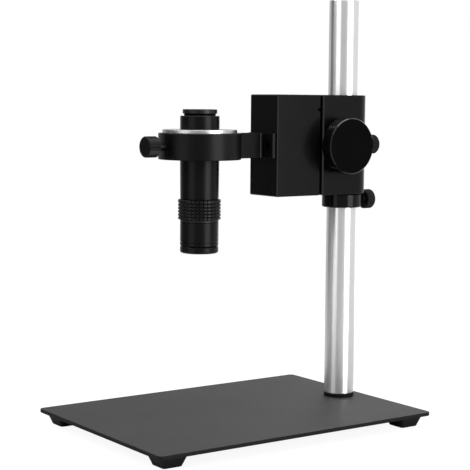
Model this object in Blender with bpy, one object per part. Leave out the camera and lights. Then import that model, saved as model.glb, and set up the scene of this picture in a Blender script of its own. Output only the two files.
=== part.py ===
# Bench video microscope: a zoom lens in a ring arm, on a rack focusing block that
# clamps to an upright post above a flat base plate.
# Metres. +Z is up, +Y runs from the lens towards the post, and X is across the plate.
# The origin is on the bench under the middle of the whole instrument.

import bpy
import bmesh
from math import atan2, cos, pi, radians, sin, sqrt, tan
from mathutils import Matrix, Vector

# Clearances
GAP = 0.0003                    # between two pieces that seat on each other
RUN = 0.0003                    # each side of a turning or sliding fit

# Base plate and feet
PLATE_WIDTH = 0.1866
PLATE_LENGTH = 0.2604
PLATE_THICKNESS = 0.0030
PLATE_CORNER_RADIUS = 0.004
PLATE_EDGE_CHAMFER = 0.0003
FOOT_HEIGHT = 0.0087
FOOT_SOLE = 0.0164              # side of the square sole
FOOT_HEAD = 0.0234              # side of the square under the plate
FOOT_INSET = 0.0045             # plate edge to the foot's head
FOOT_CORNER_RADIUS = 0.0026
FOOT_DIMPLE_RADIUS = 0.0045
FOOT_DIMPLE_DEPTH = 0.0025

# Post and the bolt that holds it down
POST_RADIUS = 0.0125
POST_LENGTH = 0.3321
POST_CHAMFER = 0.0008
POST_SETBACK = 0.0210           # post axis to the plate's rear edge
SPACER_PROUD = 0.0002           # spacer's rim outside the post's
SPACER_THICKNESS = 0.0031
SPACER_SEAT_DEPTH = 0.0005      # spot face in the plate under the spacer
BOLT_RADIUS = 0.0040
BOLT_GRIP = 0.0240              # bolt thread inside the post
BOLT_HEAD_ACROSS_FLATS = 0.0130
BOLT_HEAD_HEIGHT = 0.0050
WASHER_RADIUS = 0.0085
WASHER_THICKNESS = 0.0015

# Stop collar
COLLAR_WALL = 0.00385
COLLAR_HEIGHT = 0.0116
COLLAR_CLIMB = 0.1623           # plate top to the collar's underside, as stored
COLLAR_TOP_CHAMFER = 0.0009
COLLAR_FOOT_ROUND = 0.0012

# Knurled thumbscrews
THUMB_RADIUS = 0.0082
THUMB_THICKNESS = 0.0082
THUMB_CHAMFER = 0.0006
THUMB_TEETH = 24                # straight knurl
THUMB_NECK_RADIUS = 0.0046
THUMB_NECK_LENGTH = 0.0022
THUMB_SHANK_RADIUS = 0.0030
COLLAR_SCREW_STANDOFF = 0.0065  # collar wall to the screw's head
CLAMP_SCREW_STANDOFF = 0.0095   # block back to the screw's head
RING_SCREW_STANDOFF = 0.0078    # ring wall to the screw's head
RING_SCREW_THICKNESS = 0.0104   # the ring's screw has the longest head

# Clamp block
BLOCK_HALF_WIDTH = 0.0189
BLOCK_HEIGHT = 0.0822
BLOCK_REAR_WALL = 0.0045        # behind the post bore
BLOCK_REAR_RADIUS = 0.0160
BLOCK_EDGE_CHAMFER = 0.0004
BLOCK_FRONT_CHAMFER = 0.00095   # the two upright edges beside the slide

# Focus drive
GEAR_MODULE = 0.0008
PINION_TEETH = 12
PRESSURE_ANGLE = radians(25.0)
TOOTH_ADDENDUM = 0.75           # in modules, stub teeth
TOOTH_DEDENDUM = 1.0            # in modules
TOOTH_BACKLASH = 0.0001         # off each tooth, at the pitch line
PINION_LENGTH = 0.0090
PINION_ROOM = 0.0008            # tooth tip to the cross bore
DRIVE_WALL = 0.0006             # cross bore to post bore
DRIVE_RISE = 0.0407             # block underside to the knob axis
SHAFT_RADIUS = 0.0035
SHAFT_END_COVER = 0.0027        # knob face that closes over the shaft
BUSH_FLANGE_RADIUS = 0.0075
BUSH_FLANGE_THICKNESS = 0.0015
BUSH_END_PLAY = 0.0006          # pinion end to the bush
KNOB_RADIUS = 0.0230
KNOB_THICKNESS = 0.0115
KNOB_HUB_LENGTH = 0.0041        # bush to the knob's back
KNOB_CHAMFER = 0.0009
KNOB_TEETH = 36                 # diamond knurl, three rows across the rim
KNOB_ROWS = 3
KNURL_DEPTH = 0.00035
KNOB_HUB_RADIUS = 0.0080
GRUB_RADIUS = 0.0013
GRUB_SOCKET_SHARE = 0.6         # of the grub screw's radius
GRUB_SOCKET_DEPTH = 0.0012

# Slide between block and carriage
RACK_INSET = 0.01165            # block front back to the rack's pitch line
DOVETAIL_MOUTH = 0.0078         # half width at the block's front face
DOVETAIL_FLOOR = 0.0112         # half width at the floor of the slot
DOVETAIL_DEPTH = 0.0080
SLIDE_SEAM = 0.00275            # open joint between carriage and block
BAR_SEAT_DEPTH = 0.0050         # slide bar let into the carriage
RACK_HALF_WIDTH = 0.0040
RACK_SEAT_DEPTH = 0.0022        # rack let into the slide bar
RACK_SIDE_ROOM = 0.0015
RACK_TIP_ROOM = 0.00065
RACK_END_MARGIN = 0.0030        # least bar left beyond each end of the rack

# Carriage
CARRIAGE_DEPTH = 0.0439
CARRIAGE_EDGE_ROUND = 0.0008
SLIDE_SCREW_SPREAD = 0.0240     # each side of mid height
SCREW_RADIUS = 0.0020
SCREW_HEAD_RADIUS = 0.0036
SCREW_BITE = 0.0080             # thread inside the carriage
SCREW_RECESS_RADIUS = 0.0012
SCREW_RECESS_DEPTH = 0.0012
SIDE_GRUB_RADIUS = 0.00125
SIDE_GRUB_WALL = 0.0003         # carriage rear face to the grub screw's hole
SIDE_GRUB_DROP = 0.0120         # carriage top to the grub screw
SIDE_GRUB_RECESS = 0.0003

# Ring arm
LENS_REACH = 0.0622             # carriage front to the lens axis
ARM_HEIGHT = 0.0205
ARM_HALF_WEB = 0.0020
ARM_FLANGE_HALF_WIDTH = 0.0167
ARM_FLANGE_THICKNESS = 0.0033
ARM_FLANGE_ROUND = 0.0012
ARM_FLANGE_FILLET = 0.0014
ARM_RING_FILLET = 0.0040
ARM_EDGE_CHAMFER = 0.0003
ARM_SCREW_INSET = 0.0069        # flange end to the screw's axis
RING_WALL = 0.0074

# Adapter ring
SLEEVE_RADIUS = 0.0250
SLEEVE_LENGTH = 0.0180
FLANGE_OVERHANG = 0.0044        # flange rim outside the sleeve
FLANGE_THICKNESS = 0.0025
FLANGE_EDGE_CHAMFER = 0.0003
SLEEVE_GRUB_DROP = 0.0120       # ring top to the three grub screws

# Lens
MOUNT_RADIUS = 0.0127           # one inch screw mount for the camera
MOUNT_LENGTH = 0.0039
SHOULDER_WIDTH = 0.0028         # mount to the tube's wall
RELIEF_DEPTH = 0.0003           # undercut at the foot of the mount, as wide as the cap
TUBE_RISE = 0.0136              # ring top to the tube's upper shoulder
TUBE_LENGTH = 0.0654
TUBE_CHAMFER = 0.0003
BARREL_STEP = 0.0003            # upper tube's wall to the lower barrel's
BARREL_WALL = 0.0010            # barrel over the neck that carries it
NECK_WALL = 0.0037
CAP_WALL = 0.0006
CAP_HEIGHT = 0.0034
CAP_TOP_THICKNESS = 0.0009
CAP_CHAMFER = 0.0004
ZOOM_RISE = 0.0017              # ring's ribs above the barrel
ZOOM_LENGTH = 0.0173
ZOOM_RIB_COUNT = 6
ZOOM_RIB_HEIGHT = 0.0008
ZOOM_TOP_CHAMFER = 0.0003
ZOOM_END_LENGTH = 0.0013        # plain end below the ribs
ZOOM_HALF_TURN = radians(75.0)
CELL_HALF_TRAVEL = 0.0040
CELL_LENGTH = 0.0140
CELL_WALL = 0.0018
CELL_LEDGE = 0.0006             # that the zoom lens rests on
CAM_PIN_RADIUS = 0.0010
CAM_GROOVE_DEPTH = 0.0011
LOWER_LENGTH = 0.0188
LOWER_GROOVE_WIDTH = 0.0008
LOWER_GROOVE_DEPTH = 0.0006
LOWER_GROOVE_RISE = 0.0026
FRONT_LENGTH = 0.0055
FRONT_ROUND = 0.0016
FRONT_SEAT_WALL = 0.0024        # neck round the front lens
FRONT_LEDGE = 0.0015            # front ring over the front lens
FRONT_LENS_EDGE = 0.0020
REAR_SEAT_WALL = 0.0034         # mount round the rear lens
REAR_LEDGE_WIDTH = 0.0012
REAR_LENS_EDGE = 0.0020
REAR_LENS_DEPTH = 0.0080        # screw mount's end to the ledge
REAR_LEDGE = 0.0040
RETAINER_HEIGHT = 0.0020
GLASS_CROWN = 0.0006

# Facets round a full turn
FINE = 42
ROUND = 24
SMALL = 16
TINY = 10

PIVOT_MARK = 0.01               # drawn size of the empties on the joint axes

# Heights
plate_underside = FOOT_HEIGHT + GAP
plate_top = plate_underside + PLATE_THICKNESS
spacer_bottom = plate_top - SPACER_SEAT_DEPTH + GAP
post_bottom = spacer_bottom + SPACER_THICKNESS + GAP
collar_bottom = plate_top + COLLAR_CLIMB
collar_top = collar_bottom + COLLAR_HEIGHT
block_bottom = collar_top + GAP
block_top = block_bottom + BLOCK_HEIGHT
block_middle = (block_bottom + block_top) / 2
drive_z = block_bottom + DRIVE_RISE
arm_bottom = block_middle - ARM_HEIGHT / 2
arm_top = block_middle + ARM_HEIGHT / 2

# Distances from the post axis
bore_radius = POST_RADIUS + RUN
spacer_radius = POST_RADIUS + SPACER_PROUD
collar_radius = bore_radius + COLLAR_WALL
pitch_radius = GEAR_MODULE * PINION_TEETH / 2
tip_radius = pitch_radius + TOOTH_ADDENDUM * GEAR_MODULE
root_radius = pitch_radius - TOOTH_DEDENDUM * GEAR_MODULE
cross_bore_radius = tip_radius + PINION_ROOM
drive_offset = bore_radius + DRIVE_WALL + cross_bore_radius
block_front_offset = drive_offset + pitch_radius + RACK_INSET
block_rear_offset = bore_radius + BLOCK_REAR_WALL
carriage_rear_offset = block_front_offset + SLIDE_SEAM
carriage_front_offset = carriage_rear_offset + CARRIAGE_DEPTH
lens_offset = carriage_front_offset + LENS_REACH

# Places along Y: the origin is midway between the plate's front edge and the clamp screw
clamp_screw_reach = block_rear_offset + CLAMP_SCREW_STANDOFF + THUMB_THICKNESS
rear_overhang = max(clamp_screw_reach - POST_SETBACK, 0.0)
plate_y = -rear_overhang / 2
post_y = plate_y + PLATE_LENGTH / 2 - POST_SETBACK
drive_y = post_y - drive_offset
block_front_y = post_y - block_front_offset
block_rear_y = post_y + block_rear_offset
carriage_rear_y = post_y - carriage_rear_offset
carriage_front_y = post_y - carriage_front_offset
lens_y = post_y - lens_offset

# Ring, sleeve and lens
ring_bore_radius = SLEEVE_RADIUS + RUN
ring_radius = ring_bore_radius + RING_WALL
flange_radius = SLEEVE_RADIUS + FLANGE_OVERHANG
tube_radius = MOUNT_RADIUS + SHOULDER_WIDTH
cap_inner_radius = MOUNT_RADIUS + GAP
cap_radius = cap_inner_radius + CAP_WALL
barrel_radius = tube_radius - BARREL_STEP
neck_radius = barrel_radius - BARREL_WALL
zoom_radius = barrel_radius + ZOOM_RISE
lens_bore_radius = neck_radius - NECK_WALL
cell_radius = lens_bore_radius - RUN
cell_lens_radius = cell_radius - CELL_WALL
front_seat_radius = neck_radius - FRONT_SEAT_WALL
front_lens_radius = front_seat_radius - GAP
front_aperture_radius = front_lens_radius - FRONT_LEDGE
rear_seat_radius = MOUNT_RADIUS - REAR_SEAT_WALL
rear_lens_radius = rear_seat_radius - GAP
rear_aperture_radius = rear_lens_radius - REAR_LEDGE_WIDTH
flange_bottom = arm_top + GAP
sleeve_bottom = flange_bottom - SLEEVE_LENGTH
tube_top = arm_top + TUBE_RISE
mount_top = tube_top + MOUNT_LENGTH
tube_bottom = tube_top - TUBE_LENGTH
zoom_top = tube_bottom - GAP
zoom_bottom = zoom_top - ZOOM_LENGTH
zoom_middle = (zoom_top + zoom_bottom) / 2
lower_top = zoom_bottom - GAP
lower_bottom = lower_top - LOWER_LENGTH
front_top = lower_bottom - GAP
front_bottom = front_top - FRONT_LENGTH
cell_rise_per_radian = CELL_HALF_TRAVEL / ZOOM_HALF_TURN

DOWN = Vector((0, 0, -1))
UP = Vector((0, 0, 1))
FRONT = Vector((0, -1, 0))
REAR = Vector((0, 1, 0))
LEFT = Vector((-1, 0, 0))
RIGHT = Vector((1, 0, 0))


def clear_scene():
    for thing in list(bpy.data.objects):
        bpy.data.objects.remove(thing, do_unlink=True)


def finish(name, color, roughness, metallic=0.0):
    surface = bpy.data.materials.new(name)
    surface.use_nodes = True
    shader = surface.node_tree.nodes["Principled BSDF"]
    shader.inputs["Base Color"].default_value = (*color, 1.0)
    shader.inputs["Roughness"].default_value = roughness
    shader.inputs["Metallic"].default_value = metallic
    return surface


# Bodies that move: each has an empty on its joint axis

pivots = {}


def pivot(name, at, parent=None):
    empty = bpy.data.objects.new(name, None)
    bpy.context.collection.objects.link(empty)
    empty.empty_display_size = PIVOT_MARK
    empty.location = Vector(at)
    if parent:
        empty.parent = pivots[parent][0]
        empty.location = Vector(at) - pivots[parent][1]
    pivots[name] = (empty, Vector(at))


def place(bm, name, surface, at, body=None, along=UP, sharp=radians(32)):
    # The mesh is drawn round its own origin with its axis on +Z, then aimed and placed
    bmesh.ops.remove_doubles(bm, verts=bm.verts, dist=1e-7)
    bmesh.ops.recalc_face_normals(bm, faces=bm.faces)
    mesh = bpy.data.meshes.new(name)
    bm.to_mesh(mesh)
    bm.free()
    mesh.shade_smooth()
    mesh.set_sharp_from_angle(angle=sharp)
    piece = bpy.data.objects.new(name, mesh)
    bpy.context.collection.objects.link(piece)
    piece.rotation_mode = "QUATERNION"
    piece.rotation_quaternion = UP.rotation_difference(along)
    piece.location = Vector(at)
    if body:
        piece.parent = pivots[body][0]
        piece.location = Vector(at) - pivots[body][1]
    if surface:
        mesh.materials.append(surface)
    return piece


# Shapes

def arc(x, y, radius, start, end, steps):
    turn = (end - start) / steps
    return [(x + radius * cos(start + turn * i), y + radius * sin(start + turn * i))
            for i in range(steps + 1)]


def turned(profile, facets=ROUND, closed=True):
    # profile: (radius, height) points; closed for a ring, open from axis to axis for a solid
    bm = bmesh.new()
    verts = [bm.verts.new((r, 0.0, z)) for r, z in profile]
    edges = [bm.edges.new(pair) for pair in zip(verts, verts[1:])]
    if closed:
        edges.append(bm.edges.new((verts[-1], verts[0])))
    bmesh.ops.spin(bm, geom=verts + edges, cent=(0, 0, 0), axis=(0, 0, 1),
                   angle=2 * pi, steps=facets, use_merge=True, use_duplicate=False)
    bmesh.ops.remove_doubles(bm, verts=bm.verts, dist=1e-7)
    return bm


def prism(outline, bottom, top):
    bm = bmesh.new()
    face = bm.faces.new([bm.verts.new((x, y, bottom)) for x, y in outline])
    raised = bmesh.ops.extrude_face_region(bm, geom=[face])["geom"]
    bmesh.ops.translate(bm, vec=(0, 0, top - bottom),
                        verts=[v for v in raised if isinstance(v, bmesh.types.BMVert)])
    return bm


def rod(radius, bottom, top, facets=SMALL):
    return turned([(0, bottom), (radius, bottom), (radius, top), (0, top)], facets, False)


def knurled(radius, teeth, rows, bottom, top, chamfer):
    # Chamfered wheel whose rim points stand high and low in turn. With more than two rows
    # each row starts half a tooth on from the last, which makes the ridges cross.
    points = 2 * teeth
    step = (top - bottom - 2 * chamfer) / (rows - 1)
    crossed = rows > 2
    heights = [bottom] + [bottom + chamfer + row * step for row in range(rows)] + [top]
    bm = bmesh.new()
    rings = []
    for level, height in enumerate(heights):
        rim = 0 < level <= rows
        ring = []
        for i in range(points):
            low = (i + level * crossed) % 2
            r = radius - KNURL_DEPTH * low if rim else radius - chamfer
            angle = pi * i / teeth
            ring.append(bm.verts.new((r * cos(angle), r * sin(angle), height)))
        rings.append(ring)
    for level, (lower, upper) in enumerate(zip(rings, rings[1:])):
        for i in range(points):
            j = (i + 1) % points
            if (i + level * crossed) % 2:
                bm.faces.new((lower[i], lower[j], upper[j]))
                bm.faces.new((lower[i], upper[j], upper[i]))
            else:
                bm.faces.new((lower[i], lower[j], upper[i]))
                bm.faces.new((lower[j], upper[j], upper[i]))
    bm.faces.new(rings[0])
    bm.faces.new(rings[-1])
    return bm


def block(width, depth, height):
    bm = bmesh.new()
    bmesh.ops.create_cube(bm, size=1.0, matrix=Matrix.Diagonal((width, depth, height, 1.0)))
    return bm


def rounded_rectangle(width, length, radius, steps=4):
    x = width / 2 - radius
    y = length / 2 - radius
    points = []
    for quarter, (sx, sy) in enumerate(((1, 1), (-1, 1), (-1, -1), (1, -1))):
        start = quarter * pi / 2
        points += arc(sx * x, sy * y, radius, start, start + pi / 2, steps)
    return points


def chamfer_rim(bm, width, angle=radians(60)):
    # Cut back every edge whose faces meet at more than the angle
    bmesh.ops.recalc_face_normals(bm, faces=bm.faces)
    edges = [e for e in bm.edges if e.calc_face_angle(0) > angle]
    bmesh.ops.bevel(bm, geom=edges, offset=width, offset_type="OFFSET", segments=1,
                    profile=0.5, affect="EDGES", material=-1, clamp_overlap=True)


def cut(piece, *cutters):
    # Take the cutters' shapes out of the piece
    for number, cutter in enumerate(cutters):
        cutter.hide_render = True
        cutter.display_type = "WIRE"
        step = piece.modifiers.new(f"cut_{number + 1}", "BOOLEAN")
        step.operation = "DIFFERENCE"
        step.solver = "EXACT"
        step.object = cutter


def join(piece, *others):
    for number, other in enumerate(others):
        other.hide_render = True
        other.display_type = "WIRE"
        step = piece.modifiers.new(f"join_{number + 1}", "BOOLEAN")
        step.operation = "UNION"
        step.solver = "EXACT"
        step.object = other


def drill(name, radius, at, along, length, body=None, facets=SMALL, back=0.0):
    # A guide rod that starts at a point and runs the given length along its direction.
    # It is turned by half a facet, so that a cross hole meets a flat and not an edge.
    guide = rod(radius, -back, length, facets)
    bmesh.ops.rotate(guide, cent=(0, 0, 0), matrix=Matrix.Rotation(pi / facets, 3, "Z"),
                     verts=guide.verts)
    return place(guide, f"guide_{name}", None, at, body, along)


# Base

def make_base(paint, rubber, metal, black_metal):
    plate = prism(rounded_rectangle(PLATE_WIDTH, PLATE_LENGTH, PLATE_CORNER_RADIUS),
                  plate_underside, plate_top)
    chamfer_rim(plate, PLATE_EDGE_CHAMFER)
    plate = place(plate, "base_plate", paint, (0, plate_y, 0), sharp=radians(25))
    hole_radius = BOLT_RADIUS + RUN
    seat = (0, post_y, plate_top - SPACER_SEAT_DEPTH)
    cut(plate, drill("plate_hole", hole_radius, (0, post_y, plate_underside), UP,
                     PLATE_THICKNESS + GAP, back=GAP),
        drill("spacer_seat", spacer_radius + GAP, seat, UP, 2 * SPACER_SEAT_DEPTH,
              facets=ROUND))
    make_feet(rubber)

    spacer = turned([(hole_radius, spacer_bottom), (spacer_radius, spacer_bottom),
                     (spacer_radius, spacer_bottom + SPACER_THICKNESS),
                     (hole_radius, spacer_bottom + SPACER_THICKNESS)])
    place(spacer, "post_spacer", rubber, (0, post_y, 0))

    post_top = post_bottom + POST_LENGTH
    bore_end = post_bottom + BOLT_GRIP + 4 * GAP
    post = turned([(0, bore_end), (hole_radius, bore_end), (hole_radius, post_bottom),
                   (POST_RADIUS - POST_CHAMFER, post_bottom),
                   (POST_RADIUS, post_bottom + POST_CHAMFER),
                   (POST_RADIUS, post_top - POST_CHAMFER),
                   (POST_RADIUS - POST_CHAMFER, post_top), (0, post_top)], FINE, False)
    place(post, "post", metal, (0, post_y, 0))

    washer_top = plate_underside - GAP
    washer_bottom = washer_top - WASHER_THICKNESS
    washer = turned([(hole_radius, washer_bottom), (WASHER_RADIUS, washer_bottom),
                     (WASHER_RADIUS, washer_top), (hole_radius, washer_top)], SMALL)
    place(washer, "post_bolt_washer", black_metal, (0, post_y, 0))

    head_top = washer_bottom - GAP
    head_bottom = head_top - BOLT_HEAD_HEIGHT
    corner = BOLT_HEAD_ACROSS_FLATS / 2 / cos(pi / 6)
    hexagon = [(corner * cos(i * pi / 3), corner * sin(i * pi / 3)) for i in range(6)]
    head = place(prism(hexagon, head_bottom, head_top), "post_bolt", black_metal,
                 (0, post_y, 0))
    shank = drill("bolt_shank", BOLT_RADIUS, (0, post_y, head_top - GAP), UP,
                  post_bottom + BOLT_GRIP - head_top + GAP)
    join(head, shank)


def make_feet(rubber):
    # Square rubber feet that taper towards the bench, with a moulded dimple in the sole
    for front, y_side in (("front", -1), ("rear", 1)):
        for side, x_side in (("left", -1), ("right", 1)):
            reach = FOOT_HEAD / 2 + FOOT_INSET
            at = (x_side * (PLATE_WIDTH / 2 - reach),
                  plate_y + y_side * (PLATE_LENGTH / 2 - reach), 0)
            foot = prism(rounded_rectangle(FOOT_HEAD, FOOT_HEAD, FOOT_CORNER_RADIUS, 2),
                         0, FOOT_HEIGHT)
            taper = FOOT_SOLE / FOOT_HEAD
            sole = [v for v in foot.verts if v.co.z < FOOT_HEIGHT / 2]
            bmesh.ops.scale(foot, vec=(taper, taper, 1), verts=sole)
            name = f"foot_{front}_{side}"
            piece = place(foot, name, rubber, at)
            cut(piece, drill(f"{name}_dimple", FOOT_DIMPLE_RADIUS, at, UP,
                             FOOT_DIMPLE_DEPTH, back=GAP))


# Thumbscrews

def make_thumbscrew(name, surface, tip, along, shank_length, body, thickness=THUMB_THICKNESS):
    # Knurled head on a short neck and a plain shank; the origin is at the tip, on the axis
    top = shank_length + thickness
    head = place(knurled(THUMB_RADIUS, THUMB_TEETH, 2, shank_length, top, THUMB_CHAMFER),
                 name, surface, tip, body, along)
    neck = shank_length - THUMB_NECK_LENGTH
    inside = shank_length + THUMB_NECK_LENGTH
    profile = [(0, 0), (THUMB_SHANK_RADIUS - THUMB_CHAMFER, 0),
               (THUMB_SHANK_RADIUS, THUMB_CHAMFER), (THUMB_SHANK_RADIUS, neck),
               (THUMB_NECK_RADIUS, neck), (THUMB_NECK_RADIUS, inside), (0, inside)]
    join(head, place(turned(profile, SMALL, False), f"guide_{name}_shank", None, tip, body,
                     along))


# Stop collar

def make_collar(surface, screw_surface):
    pivot("collar_pivot", (0, post_y, collar_bottom))
    middle = (collar_bottom + collar_top) / 2
    foot = arc(collar_radius - COLLAR_FOOT_ROUND, collar_bottom + COLLAR_FOOT_ROUND,
               COLLAR_FOOT_ROUND, -pi / 2, 0, 3)
    profile = [(bore_radius, collar_bottom)] + foot + [
        (collar_radius, collar_top - COLLAR_TOP_CHAMFER),
        (collar_radius - COLLAR_TOP_CHAMFER, collar_top), (bore_radius, collar_top)]
    collar = turned([(r, z - collar_bottom) for r, z in profile], FINE)
    collar = place(collar, "stop_collar", surface, (0, post_y, collar_bottom),
                   "collar_pivot", sharp=radians(25))
    cut(collar, drill("collar_screw_hole", THUMB_SHANK_RADIUS + RUN,
                      (0, post_y + POST_RADIUS, middle), REAR, collar_radius,
                      "collar_pivot"))

    tip = (0, post_y + POST_RADIUS + GAP, middle)
    pivot("collar_screw_pivot", tip, "collar_pivot")
    shank = collar_radius + COLLAR_SCREW_STANDOFF - POST_RADIUS - GAP
    make_thumbscrew("collar_thumbscrew", screw_surface, tip, REAR, shank,
                    "collar_screw_pivot")


# Clamp block with the slide's slot

def dovetail(clearance, start, depth):
    # Right-hand side of the dovetail outline, from the block's front face backwards
    slope = (DOVETAIL_FLOOR - DOVETAIL_MOUTH) / DOVETAIL_DEPTH
    inset = clearance * sqrt(1 + slope * slope)
    return [(DOVETAIL_MOUTH + slope * start - inset, start),
            (DOVETAIL_MOUTH + slope * depth - inset, depth)]


def make_block(surface, screw_surface, brass):
    pivot("head_pivot", (0, post_y, block_bottom), "collar_pivot")
    half = BLOCK_HALF_WIDTH
    rear = block_rear_offset
    corner = min(BLOCK_REAR_RADIUS, half)
    front = -block_front_offset
    outline = [(-half, front + BLOCK_FRONT_CHAMFER), (-half + BLOCK_FRONT_CHAMFER, front),
               (half - BLOCK_FRONT_CHAMFER, front), (half, front + BLOCK_FRONT_CHAMFER)]
    outline += arc(half - corner, rear - corner, corner, 0, pi / 2, 9)
    outline += arc(corner - half, rear - corner, corner, pi / 2, pi, 9)
    body = prism(outline, 0, BLOCK_HEIGHT)
    chamfer_rim(body, BLOCK_EDGE_CHAMFER)
    body = place(body, "clamp_block", surface, (0, post_y, block_bottom), "head_pivot",
                 sharp=radians(25))

    over = 4 * GAP
    bore = drill("post_bore", bore_radius, (0, post_y, block_bottom), UP,
                 BLOCK_HEIGHT + over, "head_pivot", FINE, over)
    cross = drill("cross_bore", cross_bore_radius, (-half - over, drive_y, drive_z), RIGHT,
                  2 * (half + over), "head_pivot", ROUND)
    slope = (DOVETAIL_FLOOR - DOVETAIL_MOUTH) / DOVETAIL_DEPTH
    right = [(DOVETAIL_MOUTH - slope * over, -over), (DOVETAIL_FLOOR, DOVETAIL_DEPTH)]
    relief = RACK_HALF_WIDTH + RACK_SIDE_ROOM
    deep = RACK_INSET + TOOTH_ADDENDUM * GEAR_MODULE + RACK_TIP_ROOM
    right += [(relief, DOVETAIL_DEPTH), (relief, deep)]
    slot = [(x, y) for x, y in right] + [(-x, y) for x, y in reversed(right)]
    slot = place(prism(slot, -over, BLOCK_HEIGHT + over), "guide_slide_slot", None,
                 (0, block_front_y, block_bottom), "head_pivot")
    clamp_hole = drill("clamp_screw_hole", THUMB_SHANK_RADIUS + RUN,
                       (0, post_y + POST_RADIUS, drive_z), REAR,
                       block_rear_offset, "head_pivot")
    cut(body, bore, cross, slot, clamp_hole)

    tip = (0, post_y + POST_RADIUS + GAP, drive_z)
    pivot("clamp_screw_pivot", tip, "head_pivot")
    shank = block_rear_offset + CLAMP_SCREW_STANDOFF - POST_RADIUS - GAP
    make_thumbscrew("clamp_thumbscrew", screw_surface, tip, REAR, shank, "clamp_screw_pivot")

    inner = PINION_LENGTH / 2 + BUSH_END_PLAY
    seat = half + GAP
    outer = seat + BUSH_FLANGE_THICKNESS
    barrel = cross_bore_radius - GAP
    profile = [(SHAFT_RADIUS + RUN, inner), (barrel, inner), (barrel, seat),
               (BUSH_FLANGE_RADIUS, seat), (BUSH_FLANGE_RADIUS, outer),
               (SHAFT_RADIUS + RUN, outer)]
    for side, along in (("left", LEFT), ("right", RIGHT)):
        place(turned(profile, SMALL), f"shaft_bush_{side}", brass, (0, drive_y, drive_z),
              "head_pivot", along)


# Focus drive: pinion shaft, two knobs and their grub screws

def involute(base, radius):
    # Angle round a gear at which the involute from the base circle reaches a radius
    roll = sqrt(max((radius / base) ** 2 - 1, 0))
    return roll - atan2(roll, 1)


def pinion_outline():
    base = pitch_radius * cos(PRESSURE_ANGLE)
    start = max(base, root_radius)
    half_tooth = (pi * GEAR_MODULE / 2 - TOOTH_BACKLASH) / 2 / pitch_radius
    at_base = half_tooth + involute(base, pitch_radius)
    flank = [(root_radius, at_base)]
    for step in range(4):
        radius = start + (tip_radius - start) * step / 3
        flank.append((radius, at_base - involute(base, radius)))
    points = []
    for tooth in range(PINION_TEETH):
        centre = 2 * pi * tooth / PINION_TEETH
        points += [(r, centre - a) for r, a in flank]
        points += [(r, centre + a) for r, a in reversed(flank)]
    return [(r * cos(a), r * sin(a)) for r, a in points]


def make_drive(steel, surface, screw_surface):
    pivot("drive_pivot", (0, drive_y, drive_z), "head_pivot")
    hub_end = BLOCK_HALF_WIDTH + GAP + BUSH_FLANGE_THICKNESS + GAP
    back = hub_end + KNOB_HUB_LENGTH
    face = back + KNOB_THICKNESS
    shaft_end = face - SHAFT_END_COVER - GAP
    # A tooth centre points at the rack
    teeth = prism(pinion_outline(), -PINION_LENGTH / 2, PINION_LENGTH / 2)
    bmesh.ops.rotate(teeth, cent=(0, 0, 0), matrix=Matrix.Rotation(-pi / 2, 3, "Z"),
                     verts=teeth.verts)
    shaft = place(teeth, "pinion_shaft", steel, (0, drive_y, drive_z), "drive_pivot", RIGHT,
                  sharp=radians(40))
    core = drill("shaft_core", SHAFT_RADIUS, (-shaft_end, drive_y, drive_z), RIGHT,
                 2 * shaft_end, "drive_pivot")
    join(shaft, core)

    bore = SHAFT_RADIUS + GAP
    inside = (back + face) / 2
    grub_x = (hub_end + back) / 2
    grub_length = KNOB_HUB_RADIUS - bore - 2 * GAP
    for side, along, sign in (("left", LEFT, -1), ("right", RIGHT, 1)):
        at = (0, drive_y, drive_z)
        knob = place(knurled(KNOB_RADIUS, KNOB_TEETH, KNOB_ROWS, back, face, KNOB_CHAMFER),
                     f"focus_knob_{side}", surface, at, "drive_pivot", along)
        join(knob, place(rod(KNOB_HUB_RADIUS, hub_end, inside, ROUND),
                         f"guide_knob_{side}_hub", None, at, "drive_pivot", along))
        socket = (sign * (hub_end - GAP), drive_y, drive_z)
        shaft_hole = drill(f"knob_{side}_bore", bore, socket, along,
                           face - SHAFT_END_COVER - hub_end + GAP, "drive_pivot")
        start = (sign * grub_x, drive_y, drive_z - SHAFT_RADIUS)
        cut(knob, shaft_hole, drill(f"knob_{side}_grub_hole", GRUB_RADIUS + GAP, start, DOWN,
                                    KNOB_HUB_RADIUS, "drive_pivot", TINY))
        tip = (sign * grub_x, drive_y, drive_z - bore - GAP)
        make_grub(f"knob_grub_{side}", screw_surface, GRUB_RADIUS, grub_length, tip, DOWN,
                  "drive_pivot")


def make_grub(name, surface, radius, length, tip, along, body):
    # Headless screw with a round socket in its outer end
    socket = radius * GRUB_SOCKET_SHARE
    floor = length - GRUB_SOCKET_DEPTH
    profile = [(0, 0), (radius, 0), (radius, length), (socket, length), (socket, floor),
               (0, floor)]
    place(turned(profile, TINY, False), name, surface, tip, body, along)


# Carriage, slide bar and rack

def make_countersunk(name, surface, seat, along, length, body):
    # Flush screw whose head lies behind the seat point and whose thread runs along
    neck = SCREW_HEAD_RADIUS - SCREW_RADIUS
    recess = SCREW_RECESS_DEPTH
    profile = [(0, recess), (SCREW_RECESS_RADIUS, recess), (SCREW_RECESS_RADIUS, 0),
               (SCREW_HEAD_RADIUS, 0), (SCREW_RADIUS, neck), (SCREW_RADIUS, length),
               (0, length)]
    place(turned(profile, SMALL, False), name, surface, seat, body, along)


def countersink(name, seat, along, length, body):
    # Hole for a countersunk screw, with the gap all round and open past the seat
    slope = GAP * 1.42
    head = SCREW_HEAD_RADIUS + slope
    radius = SCREW_RADIUS + GAP
    profile = [(0, -4 * GAP), (head, -4 * GAP), (head, 0), (radius, head - radius),
               (radius, length + GAP), (0, length + GAP)]
    return place(turned(profile, SMALL, False), f"guide_{name}", None, seat, body, along)


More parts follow.
